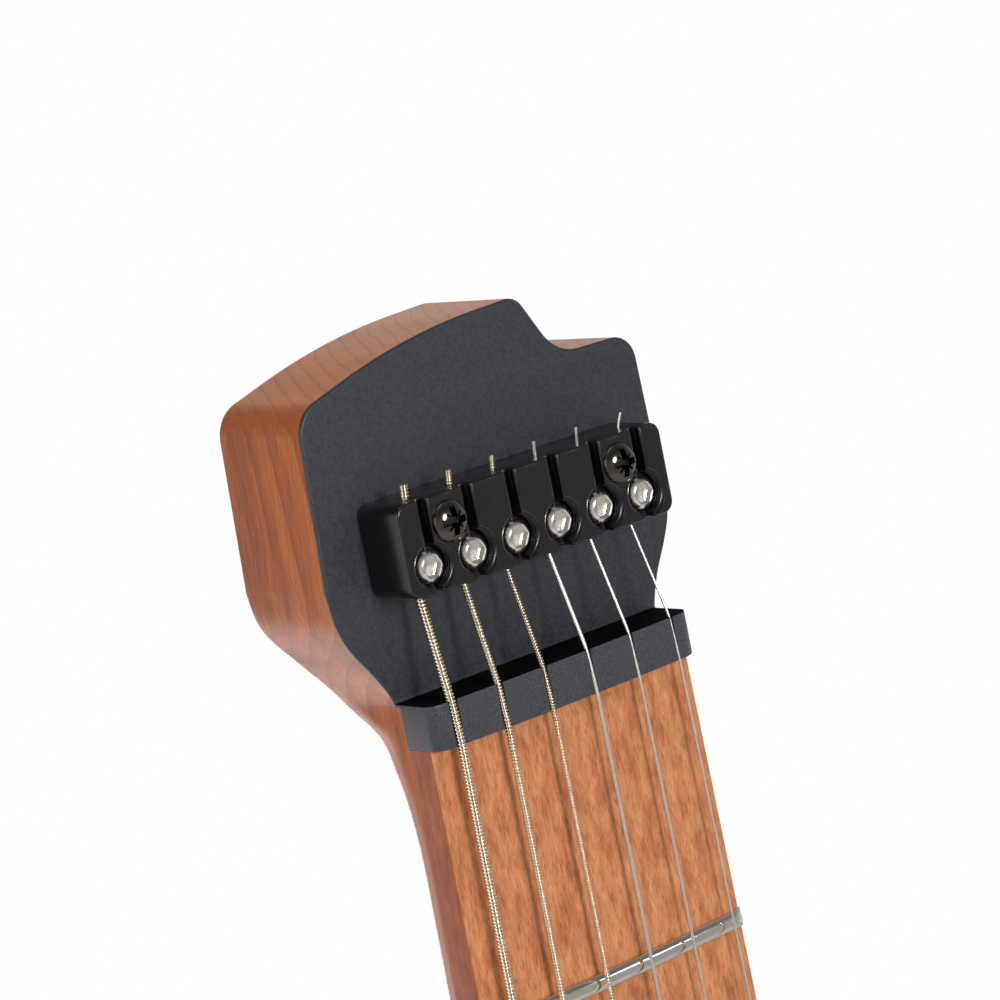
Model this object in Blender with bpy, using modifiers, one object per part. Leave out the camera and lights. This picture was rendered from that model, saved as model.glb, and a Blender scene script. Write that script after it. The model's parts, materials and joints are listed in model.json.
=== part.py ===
"""Headless six-string electric guitar, standing upright as it hangs on a wall.

Z runs along the strings towards the head, X to the treble side, and the face looks along -Y. The origin is where
a wall hanger's yoke carries the neck, on its centre line just under the head. Lengths are in metres. Two helpers
place the pieces as a luthier measures them: down() is the distance from the nut towards the bridge, and behind() is
the depth behind the fingerboard's face.
"""

import math

import bmesh
import bpy
from mathutils import Matrix, Vector

MM = 0.001
GAP = 0.3 * MM  # clearance between pieces that touch
RUN = 0.35 * MM  # clearance round a piece that turns or slides
OVER = 2 * MM  # how far a cutter reaches past the faces that it opens
MERGE = 0.01 * MM

# Strings
SCALE_LENGTH = 648 * MM
STRING_COUNT = 6
STRING_RADII = [0.62 * MM, 0.48 * MM, 0.36 * MM, 0.26 * MM, 0.21 * MM, 0.17 * MM]  # bass to treble
INTONATION = [3.6 * MM, 2.8 * MM, 2.0 * MM, 2.4 * MM, 1.4 * MM, 0.7 * MM]  # each saddle beyond the scale length
EDGE_AT_NUT = 3.25 * MM  # from the board's edge to the outer strings' centres
EDGE_AT_END = 4.13 * MM
BRIDGE_SPREAD = 52.5 * MM  # between the outer strings' centres
NUT_LIFT = 2 * MM  # string centres above the board at the nut
ACTION = 2.9 * MM  # string centres above the board at the twelfth fret
STRING_END = 2.2 * MM  # beyond the lock
NUT_BREAK = 0.107  # share of a string's fall from the nut to the lock that it has at the nut's back
BALL_RADIUS = 1.9 * MM
BALL_LENGTH = 3 * MM

# Origin
YOKE_BELOW_NUT = 14 * MM
YOKE_BEHIND_BOARD = 10 * MM

# Fingerboard
BOARD_WIDTH_NUT = 43.3 * MM
BOARD_THICKNESS = 4.7 * MM
BOARD_RADIUS = 400 * MM
FRET_COUNT = 24
FRET_WIDTH = 2.5 * MM
FRET_HEIGHT = 1.1 * MM
FRET_FLANK = 0.45  # share of its half width that a fret's crown has
FRET_END = 0.35  # share of its height that a fret has at its bevelled ends
BOARD_STEPS = 6  # flats across the crowned face
BOARD_PAST_LAST_FRET = 7 * MM

# Neck and head
NECK_DEPTH_NUT = 18.2 * MM  # from the board's face to the back of the neck
NECK_DEPTH_HEEL = 20 * MM
NECK_SQUARENESS = 1.8  # exponent of the back's section: 2 is an ellipse
HEEL_DEPTH = 26 * MM
HEEL_LENGTH = 58 * MM
HEEL_BLEND = 34 * MM
HEAD_DEPTH = 23.9 * MM
HEAD_BACK_EDGE = 0.9 * MM
FACE_THICKNESS = 0.5 * MM  # dark face of the head
HEAD_FACE_DEPTH = 5.8 * MM  # from the board's face plane to the front of the head's dark face
ARC_STEPS = 4

# Nut
NUT_OVERHANG = 0.1 * MM  # past each edge of the board
NUT_WIDTH = 5.9 * MM
NUT_ABOVE_BOARD = 1.95 * MM
NUT_END_ROUND = 1.6 * MM
NUT_STEPS = 4  # flats on each half of its crowned top
SLOT_RISE = 1.2 * MM  # open mouth of a slot above its string's centre

# Truss rod
ROD_WIDTH = 6 * MM
ROD_HEIGHT = 8.5 * MM
ROD_START = 12 * MM
ROD_EDGE = 0.6 * MM
STUB_RADIUS = 2 * MM  # round end that carries the wheel
WHEEL_RADIUS = 5.4 * MM
WHEEL_LENGTH = 6 * MM
WHEEL_HOLES = 6
WHEEL_HOLE_RADIUS = 1.1 * MM
WHEEL_RIM = 0.7 * MM
WHEEL_ROOM = 2.7 * MM  # free space round the wheel in the body

# String lock
LOCK_END = 4.125 * MM  # past the outer strings' centres
LOCK_HEIGHT = 11.9 * MM
LOCK_THICKNESS = 8 * MM
LOCK_BOTTOM = 19.3 * MM  # above the nut's front face
LOCK_CORNER = 1.6 * MM
LOCK_PITCH = 7.03 * MM
LOCK_GROOVE = 1.6 * MM
LOCK_GROOVE_DEPTH = 2 * MM
LOCK_BORE = 0.95 * MM
LOCK_STRING_LOW = 3.7 * MM  # string centres above the head's face where they enter the lock
LOCK_STRING_HIGH = 5 * MM  # and where they leave it
CLAMP_ABOVE_NUT = 22.65 * MM
CLAMP_HEAD_RADIUS = 2.12 * MM
CLAMP_HEAD_HEIGHT = 1.45 * MM
CLAMP_SHANK_RADIUS = 1.4 * MM
CLAMP_SEAT_RADIUS = 2.9 * MM
CLAMP_SEAT_DEPTH = 1.85 * MM  # counterbore below the bar's face
FIXING_ABOVE_NUT = 27.5 * MM
FIXING_HEAD_RADIUS = 2.65 * MM
FIXING_HEAD_HEIGHT = 1.7 * MM
FIXING_SHANK_RADIUS = 1.5 * MM
FIXING_SEAT_DEPTH = 0.6 * MM
FIXING_PITCHES = 2  # the fixing screws stand this many string pitches off the centre
SCREW_DEPTH_IN_HEAD = 10 * MM

# Body
BODY_DROP = 9.6 * MM  # the body's face behind the board's face
BODY_THICKNESS = 41 * MM
TOP_THICKNESS = 6 * MM
BODY_BACK_ROUND = 6 * MM
TOP_EDGE_ROUND = 1.5 * MM
FOREARM_DEPTH = 13 * MM
BELLY_DEPTH = 14 * MM
BODY_TURNS = 3
FOREARM_WIDTH = 58 * MM  # from where the forearm's plane leaves the face to its full depth
BELLY_WIDTH = 56 * MM
BELLY_RADIUS = 200 * MM
CONTOUR_REACH = 160 * MM  # half the size of the block that cuts the forearm's plane
POCKET_CORNER = 4 * MM
POCKET_PAST = 30 * MM  # how far the neck pocket's cutter runs on past the heel

# Bridge, from the scale line and the body's face
BRIDGE_FRONT = 15 * MM
BRIDGE_PLATE = 3 * MM
BRIDGE_EDGE = 1.2 * MM
HOUSING_HEIGHT = 13.6 * MM
SIDE_WALL = 4.25 * MM
REAR_WALL = 8 * MM
CARRIAGE_FRONT = 38 * MM
CARRIAGE_LENGTH = 18 * MM
CARRIAGE_HEIGHT = 9 * MM
CARRIAGE_TRAVEL = 3 * MM
CARRIAGE_ROOM = 8 * MM  # free channel before and behind the carriages
CARRIAGE_SPACING = 1.5 * MM  # between neighbouring carriages
PULL_HEIGHT = 8.3 * MM  # the tuning screws' axis above the body
PULL_RADIUS = 1.9 * MM
BALL_POCKET = 4.6 * MM
POCKET_FROM_FRONT = 3 * MM
BORE_DEPTH = 9.5 * MM
SADDLE_SPACING = 0.8 * MM
SADDLE_FRONT = 7 * MM
SADDLE_REAR = 12 * MM
SADDLE_BLOCK = 1.6 * MM  # solid foot of a saddle
GRUB_RADIUS = 1.4 * MM
GRUB_PLACE = 3.5 * MM  # before the scale line
GRUB_EDGE = 0.7 * MM
KNOB_SPACING = 0.9 * MM
KNOB_LENGTH = 13 * MM
KNOB_FLUTES = 8
FLUTE_DEPTH = 0.45 * MM
KNOB_RIM = 0.6 * MM
COLLAR_LENGTH = 1.2 * MM

# Pickups
PICKUP_WIDTH = 69 * MM
PICKUP_LENGTH = 37 * MM
PICKUP_BELOW_STRINGS = 4.2 * MM
PICKUP_HEIGHT = 19 * MM
PICKUP_MARGIN = 1 * MM
PICKUP_CORNER = 3 * MM
PICKUP_ROOM = 2 * MM  # under a pickup
BLADE_LENGTH = 59 * MM
BLADE_WIDTH = 2.4 * MM
BLADE_RISE = 0.8 * MM
BLADE_SPACING = 18 * MM
BRIDGE_PICKUP_FROM_SADDLES = 41 * MM
NECK_PICKUP_FROM_BOARD = 12 * MM

# Controls
KNOBS = {"volume": (82, 622), "tone": (104, 662)}  # where the body's drawing has them, as in BODY_OUTLINE
DIAL_RADIUS = 9 * MM
DIAL_HEIGHT = 15 * MM
DIAL_LIFT = 0.8 * MM
DIAL_SCALLOPS = 10
SCALLOP_DEPTH = 0.35 * MM
SHAFT_RADIUS = 3 * MM
BUSH_RADIUS = 4.6 * MM
POT_RADIUS = 8.6 * MM
POT_HEIGHT = 9 * MM
SWITCH_PLACE = (104, 592)
SWITCH_LENGTH = 42 * MM
SWITCH_WIDTH = 12 * MM
SWITCH_HEIGHT = 17 * MM
SWITCH_ANGLE = 14  # degrees either side of the middle
LEVER_THICKNESS = 1.6 * MM
LEVER_WIDTH = 4.2 * MM
LEVER_RISE = 13 * MM
TIP_RADIUS = 3.2 * MM
PIVOT_DEPTH = 9 * MM  # below the top's inner face
LEVER_ROOM = 1.5 * MM  # past the lever's swing
AXLE_RADIUS = 1 * MM
AXLE_WALL = 1.5 * MM
TIP_LENGTH = 9 * MM
TIP_OVERLAP = 3 * MM
CAVITY = [(66, 566), (122, 560), (136, 600), (138, 664), (118, 694), (70, 690), (60, 640)]
CAVITY_CORNER = 9 * MM
COVER_THICKNESS = 2.4 * MM
COVER_LEDGE = 4.5 * MM

# Jack
JACK_PLACE = (157.8, 668)  # on the treble side of the body's drawing
JACK_REACH = 48 * MM  # how far its hole runs in, to the control cavity
JACK_HOLE = 7.6 * MM
JACK_RADIUS = 7 * MM
JACK_LENGTH = 26 * MM
PLUG_RADIUS = 3.25 * MM
PLUG_DEPTH = 24 * MM
JACK_PLATE_MARGIN = 2.5 * MM  # wood above and below the plate
JACK_PLATE_SUNK = 1.2 * MM
JACK_NECK = 4.6 * MM
JACK_PLATE_THICKNESS = 1.8 * MM
JACK_NUT_RADIUS = 6.2 * MM
JACK_NUT_HEIGHT = 2.2 * MM

# Fastenings
BOLT_SPACING_X = 36 * MM
BOLT_SPACING_Z = 24 * MM
BOLT_FROM_END = 9 * MM  # from the board's end to the lower pair
BOLT_HEAD_RADIUS = 5.6 * MM
BOLT_HEAD_HEIGHT = 4 * MM
BOLT_RADIUS = 2.5 * MM
BOLT_IN_NECK = 12 * MM
BOLT_DRIVE = 2.2 * MM
BOLT_DRIVE_DEPTH = 2.4 * MM
BUTTON_RADIUS = 7.2 * MM
BUTTON_HEIGHT = 13 * MM
BUTTON_SCREW_RADIUS = 2 * MM
BUTTON_SCREW_LENGTH = 18 * MM
BUTTONS = {"upper": (-122, 334), "lower": (-101, 743.6)}  # on the edge of the body's drawing

for leftover in list(bpy.data.objects):
    bpy.data.objects.remove(leftover)

guitar = bpy.data.collections.new("headless_electric_guitar")
cutters = bpy.data.collections.new("cutters")
bpy.context.scene.collection.children.link(guitar)
bpy.context.scene.collection.children.link(cutters)


def down(distance):
    """Z of a point this far below the nut's front face."""
    return YOKE_BELOW_NUT - distance


def behind(depth):
    """Y of a point this far behind the fingerboard's face."""
    return depth - YOKE_BEHIND_BOARD


def finish(name, colour, roughness, metallic=0.0):
    made = bpy.data.materials.new(name)
    made.use_nodes = True
    shader = made.node_tree.nodes["Principled BSDF"]
    shader.inputs["Base Color"].default_value = (*colour, 1.0)
    shader.inputs["Roughness"].default_value = roughness
    shader.inputs["Metallic"].default_value = metallic
    made.diffuse_color = (*colour, 1.0)
    return made


ROASTED_MAPLE = finish("roasted_maple", (0.45, 0.19, 0.07), 0.5)
BODY_WOOD = finish("body_wood", (0.36, 0.15, 0.06), 0.5)
CHARCOAL = finish("charcoal_satin", (0.045, 0.048, 0.055), 0.55)
BLACK_METAL = finish("black_anodised", (0.012, 0.012, 0.014), 0.35, 0.6)
NICKEL = finish("nickel", (0.72, 0.7, 0.66), 0.25, 1.0)
GRAPHITE = finish("graphite_composite", (0.07, 0.07, 0.075), 0.45)
BLACK_PLASTIC = finish("black_plastic", (0.02, 0.02, 0.022), 0.4)
STRING_STEEL = finish("string_steel", (0.65, 0.64, 0.6), 0.3, 1.0)


def empty(name, place):
    """Datum that the pieces of one assembly hang from."""
    made = bpy.data.objects.new(name, None)
    made.empty_display_size = 10 * MM
    made.location = place
    guitar.objects.link(made)
    return made


def piece(name, data, material, place=(0, 0, 0), parent=None):
    """One named sub-part of the guitar."""
    made = bpy.data.objects.new(name, data)
    made.location = place
    made.parent = parent
    data.materials.append(material)
    if hasattr(data, "shade_smooth"):
        data.shade_smooth()
        data.set_sharp_from_angle(angle=math.radians(35))
    guitar.objects.link(made)
    return made


def cutter(name, data, place=(0, 0, 0), parent=None):
    """A solid that only shapes others."""
    made = bpy.data.objects.new(name, data)
    made.location = place
    made.parent = parent
    made.hide_render = True
    made.display_type = "WIRE"
    cutters.objects.link(made)
    return made


def combine(target, others, operation="DIFFERENCE"):
    for other in others:
        step = target.modifiers.new(other.name, "BOOLEAN")
        step.operation = operation
        step.object = other
        step.solver = "EXACT"


def to_mesh(name, work):
    bmesh.ops.recalc_face_normals(work, faces=work.faces)
    mesh = bpy.data.meshes.new(name)
    work.to_mesh(mesh)
    work.free()
    return mesh


def block(name, low, high, edge=0.0, edge_steps=1):
    """Box between two corners, with its edges broken where edge is set."""
    low = Vector(low)
    high = Vector(high)
    work = bmesh.new()
    size = Matrix.Diagonal((*(high - low), 1.0))
    bmesh.ops.create_cube(work, size=1.0, matrix=Matrix.Translation((low + high) / 2) @ size)
    if edge:
        bmesh.ops.bevel(work, geom=work.edges[:], offset=edge, segments=edge_steps, profile=0.5, affect="EDGES")
    return to_mesh(name, work)


def rod(name, radius, start, end, sides=16):
    """Cylinder from one point to another."""
    start = Vector(start)
    end = Vector(end)
    turn = (end - start).to_track_quat("Z", "Y").to_matrix().to_4x4()
    work = bmesh.new()
    bmesh.ops.create_cone(
        work, cap_ends=True, segments=sides, radius1=radius, radius2=radius, depth=(end - start).length,
        matrix=Matrix.Translation((start + end) / 2) @ turn,
    )
    return to_mesh(name, work)


def turned(name, profile, axis="Z", steps=20):
    """Revolves (radius, height) points, given from the top of the piece to its bottom."""
    work = bmesh.new()
    corners = [work.verts.new((radius, 0, height)) for radius, height in profile]
    for first, second in zip(corners, corners[1:]):
        work.edges.new((first, second))
    mesh = bpy.data.meshes.new(name)
    work.to_mesh(mesh)
    work.free()
    holder = bpy.data.objects.new(name, mesh)
    cutters.objects.link(holder)
    screw = holder.modifiers.new("turn", "SCREW")
    screw.axis = "Z"
    screw.steps = steps
    screw.render_steps = steps
    screw.use_merge_vertices = True
    screw.merge_threshold = MERGE
    solid = evaluated(holder)
    aim = {"Z": (0, 0, 1), "-Z": (0, 0, -1), "-Y": (0, -1, 0), "Y": (0, 1, 0), "X": (1, 0, 0)}[axis]
    solid.transform(Vector(aim).to_track_quat("Z", "Y").to_matrix().to_4x4())
    return solid


def evaluated(holder):
    """Welded mesh of an object's evaluated shape; the object is removed."""
    graph = bpy.context.evaluated_depsgraph_get()
    mesh = bpy.data.meshes.new_from_object(holder.evaluated_get(graph))
    name = holder.name
    bpy.data.objects.remove(holder)
    work = bmesh.new()
    work.from_mesh(mesh)
    bmesh.ops.remove_doubles(work, verts=work.verts, dist=MERGE)
    bmesh.ops.recalc_face_normals(work, faces=work.faces)
    work.to_mesh(mesh)
    work.free()
    mesh.name = name
    return mesh


def rounded(corners, closed=True, steps=ARC_STEPS):
    """Points of an outline whose corners are (x, z, radius), each turned through an arc of that radius."""
    points = []
    count = len(corners)
    for index, (x, z, radius) in enumerate(corners):
        here = Vector((x, z))
        if radius == 0 or (not closed and index in (0, count - 1)):
            points.append(here)
            continue
        before = (Vector(corners[index - 1][:2]) - here).normalized()
        after = (Vector(corners[(index + 1) % count][:2]) - here).normalized()
        half = before.angle(after) / 2
        centre = here + (before + after).normalized() * radius / math.sin(half)
        start = here + before * radius / math.tan(half) - centre
        sweep = (math.pi - 2 * half) * (1 if before.cross(after) < 0 else -1)
        for step in range(steps + 1):
            turn = Matrix.Rotation(sweep * step / steps, 2)
            points.append(centre + turn @ start)
    return points


def plate(name, points, front, back, smooth_turns=0):
    """Flat piece with an outline in X and Z, from the depth front to the depth back along Y."""
    curve = bpy.data.curves.new(name, "CURVE")
    curve.dimensions = "2D"
    curve.fill_mode = "BOTH"
    curve.extrude = (back - front) / 2
    if smooth_turns:
        spline = curve.splines.new("BEZIER")
        spline.bezier_points.add(len(points) - 1)
        for knot, (x, z) in zip(spline.bezier_points, points):
            knot.co = (x, z, 0)
            knot.handle_left_type = "AUTO"
            knot.handle_right_type = "AUTO"
        curve.resolution_u = smooth_turns
    else:
        spline = curve.splines.new("POLY")
        spline.points.add(len(points) - 1)
        for knot, (x, z) in zip(spline.points, points):
            knot.co = (x, z, 0, 1)
    spline.use_cyclic_u = True
    holder = bpy.data.objects.new(name, curve)
    cutters.objects.link(holder)
    bpy.context.view_layer.update()
    mesh = evaluated(holder)
    work = bmesh.new()
    work.from_mesh(mesh)
    flat = [face for face in work.faces if abs(face.normal.z) > 0.9]
    bmesh.ops.dissolve_faces(work, faces=flat)  # each side becomes one face, which takes a rounded rim cleanly
    work.to_mesh(mesh)
    work.free()
    upright = Matrix.Rotation(math.pi / 2, 4, "X")
    mesh.transform(Matrix.Translation((0, (front + back) / 2, 0)) @ upright)
    return mesh


def profile_bar(name, points, half_length):
    """Bar across the guitar whose side view is a list of (y, z) points."""
    mesh = plate(name, points, -half_length, half_length)
    mesh.transform(Matrix(((0, 1, 0, 0), (1, 0, 0, 0), (0, 0, 1, 0), (0, 0, 0, 1))))
    work = bmesh.new()
    work.from_mesh(mesh)
    bmesh.ops.recalc_face_normals(work, faces=work.faces)
    work.to_mesh(mesh)
    work.free()
    return mesh


def loft(name, rings):
    """Skin over rings of equally many points, closed at both ends."""
    work = bmesh.new()
    rows = [[work.verts.new(point) for point in ring] for ring in rings]
    count = len(rows[0])
    for first, second in zip(rows, rows[1:]):
        for index in range(count):
            after = (index + 1) % count
            work.faces.new((first[index], first[after], second[after], second[index]))
    work.faces.new(rows[0])
    work.faces.new(rows[-1])
    return to_mesh(name, work)


def soften(mesh, chosen, radius, steps):
    """Rounds the edges of a mesh that the test chosen(edge) picks."""
    work = bmesh.new()
    work.from_mesh(mesh)
    edges = [edge for edge in work.edges if chosen(edge)]
    bmesh.ops.bevel(work, geom=edges, offset=radius, segments=steps, profile=0.5, affect="EDGES")
    work.to_mesh(mesh)
    work.free()
    return mesh


def faceted(mesh):
    """Splits a mesh's faces into triangles, so that a large flat side with many holes is cut piece by piece."""
    work = bmesh.new()
    work.from_mesh(mesh)
    bmesh.ops.triangulate(work, faces=work.faces, quad_method="BEAUTY", ngon_method="BEAUTY")
    work.to_mesh(mesh)
    work.free()
    return mesh


def on_plane(axis, value):
    """Test for the rim edges of a flat side: both ends on the plane, and a real corner there."""
    def chosen(edge):
        flat = all(abs(vert.co[axis] - value) < MERGE for vert in edge.verts)
        return flat and len(edge.link_faces) == 2 and edge.calc_face_angle(0) > 0.6
    return chosen


def between(stations, place):
    """Smooth value at a place among (place, value, ...) stations that rise, one number for each value."""
    last = len(stations) - 1
    index = max(i for i in range(last) if stations[i][0] <= place or i == 0)
    low, high = stations[index], stations[index + 1]
    share = min(max((place - low[0]) / (high[0] - low[0]), 0), 1)
    before = stations[max(index - 1, 0)]
    after = stations[min(index + 2, last)]
    span = high[0] - low[0]
    result = []
    for k in range(1, len(low)):
        slope_low = (high[k] - before[k]) / (high[0] - before[0]) * span
        slope_high = (after[k] - low[k]) / (after[0] - low[0]) * span
        s2, s3 = share * share, share ** 3
        result.append(
            (2 * s3 - 3 * s2 + 1) * low[k] + (s3 - 2 * s2 + share) * slope_low
            + (3 * s2 - 2 * s3) * high[k] + (s3 - s2) * slope_high
        )
    return result


def fret_distance(number):
    return SCALE_LENGTH * (1 - 2 ** (-number / 12))


BOARD_END = fret_distance(FRET_COUNT) + BOARD_PAST_LAST_FRET
NUT_SPREAD = BOARD_WIDTH_NUT - 2 * EDGE_AT_NUT
BOARD_WIDTH_END = NUT_SPREAD + (BRIDGE_SPREAD - NUT_SPREAD) * BOARD_END / SCALE_LENGTH + 2 * EDGE_AT_END
NUT_LENGTH = BOARD_WIDTH_NUT + 2 * NUT_OVERHANG
LOCK_LENGTH = (STRING_COUNT - 1) * LOCK_PITCH + 2 * LOCK_END
WOOD_FACE = BOARD_THICKNESS + GAP  # depth of the neck's flat face, which the board and the nut lie on
HEAD_WOOD = HEAD_FACE_DEPTH + FACE_THICKNESS + GAP  # depth of the head's flat wood, under its dark face
FACE = behind(BODY_DROP)  # the body's face
TOP_BACK = FACE + TOP_THICKNESS
BACK = FACE + BODY_THICKNESS
BODY_MIDDLE = (TOP_BACK + BACK) / 2
JACK_PLATE = BACK - TOP_BACK - 2 * JACK_PLATE_MARGIN
BRIDGE_PITCH = BRIDGE_SPREAD / (STRING_COUNT - 1)
CARRIAGE_WIDTH = BRIDGE_PITCH - CARRIAGE_SPACING
SADDLE_WIDTH = BRIDGE_PITCH - SADDLE_SPACING
KNOB_RADIUS = (BRIDGE_PITCH - KNOB_SPACING) / 2
BRIDGE_WIDTH = BRIDGE_SPREAD + CARRIAGE_WIDTH + 2 * SIDE_WALL
HOUSING_FRONT = CARRIAGE_FRONT - CARRIAGE_ROOM
BRIDGE_REAR = CARRIAGE_FRONT + CARRIAGE_LENGTH + CARRIAGE_ROOM + REAR_WALL


def half_board(distance):
    """Half the board's width at a distance below the nut."""
    share = distance / BOARD_END
    return (BOARD_WIDTH_NUT + (BOARD_WIDTH_END - BOARD_WIDTH_NUT) * share) / 2


def crown(x):
    """Fall of the board's face from its centre line."""
    return BOARD_RADIUS - math.sqrt(BOARD_RADIUS ** 2 - x * x)


def string_share(index):
    return index / (STRING_COUNT - 1) - 0.5


def string_x(index, distance):
    """X of a string between the nut and the bridge."""
    spread = NUT_SPREAD + (BRIDGE_SPREAD - NUT_SPREAD) * distance / SCALE_LENGTH
    return string_share(index) * spread


def saddle_distance(index):
    return SCALE_LENGTH + INTONATION[index]


def string_depth(index, distance):
    """Depth of a string's centre behind the board's face plane; it is negative in front of it."""
    lift = NUT_LIFT + (ACTION - NUT_LIFT) * distance / (SCALE_LENGTH / 2)
    return crown(string_x(index, distance)) - lift


# Head: the squared outline above the flare, from the bass side over the tip to the treble side, as right of centre,
# height above the nut and corner radius in mm. It is drawn for the board's width in DRAWN_WIDTH and widens with it.
DRAWN_WIDTH = 43.3
HEAD_SPREAD = BOARD_WIDTH_NUT / MM / DRAWN_WIDTH
HEAD_OUTLINE = [
    (-28.4, 22.0, 0),
    (-27.3, 44.1, 4.6),
    (-8.5, 49.8, 90),
    (9.4, 50.6, 2.7),
    (14.4, 41.8, 6.5),
    (27.1, 41.7, 3.4),
    (27.6, 22.0, 0),
]

# Flare, from the neck up: height above the nut, bass edge and treble edge in mm, share of the way from the neck's
# depth to the head's, squareness of the section.
FLARE = [
    (-60.0, -21.9, 21.9, 0.018, 1.8),
    (-25.0, -21.7, 21.7, 0, 1.8),
    (-12.0, -21.65, 21.65, -0.044, 1.87),
    (-4.0, -21.65, 21.65, -0.018, 2.35),
    (2.0, -21.65, 21.75, 0.404, 3.2),
    (6.0, -21.7, 22.3, 0.719, 7.0),
    (10.0, -23.8, 23.8, 0.877, 12.0),
    (14.0, -26.5, 26.1, 0.947, 20.0),
    (17.3, -27.8, 27.5, 1, 45.0),
    (22.0, -28.4, 27.6, 1, 80.0),
]
FLARE_STEPS = [-30, -16, -9, -3, 2, 5.4, 5.6, 8.5, 10.5, 12.5, 14.5, 17]
HEAD_STEP = 5.5  # height of the step from the board's level down to the head's, hidden under the nut
HEEL_SQUARENESS = 16
SECTION_HALF = 6  # points on each half of a section's back


def head_rim():
    """Head outline in metres, X and height above the nut."""
    corners = [(x * MM * HEAD_SPREAD, height * MM, radius * MM) for x, height, radius in HEAD_OUTLINE]
    return rounded(corners, closed=False)


def flare_section(height):
    """Bass edge, treble edge, depth and squareness of the neck at a height above the nut in mm."""
    left, right, share, squareness = between(FLARE, height)
    depth = NECK_DEPTH_NUT + (HEAD_DEPTH - NECK_DEPTH_NUT) * share
    return left * MM * HEAD_SPREAD, right * MM * HEAD_SPREAD, depth, squareness


def back_wall():
    """(inset, depth) points from the head's face over its rounded back edge."""
    centre = HEAD_DEPTH - HEAD_BACK_EDGE
    wall = [(0, HEAD_WOOD), (0, (HEAD_WOOD + centre) / 2)]
    turns = SECTION_HALF - 3
    for step in range(turns + 1):
        angle = math.pi / 2 * step / turns
        inset = HEAD_BACK_EDGE * (1 - math.cos(angle))
        wall.append((inset, centre + HEAD_BACK_EDGE * math.sin(angle)))
    return wall


def neck_ring(distance, left, right, depth, squareness, face=WOOD_FACE):
    """Section of the neck: a flat face and a back between round and square."""
    middle = (left + right) / 2
    half = (right - left) / 2
    count = 2 * SECTION_HALF
    ring = []
    for step in range(count):
        angle = math.pi * step / (count - 1)
        across = -math.copysign(abs(math.cos(angle)) ** (2 / squareness), math.cos(angle))
        deep = abs(math.sin(angle)) ** (2 / squareness)
        ring.append((middle + half * across, behind(face + (depth - face) * deep), down(distance)))
    return ring


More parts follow.
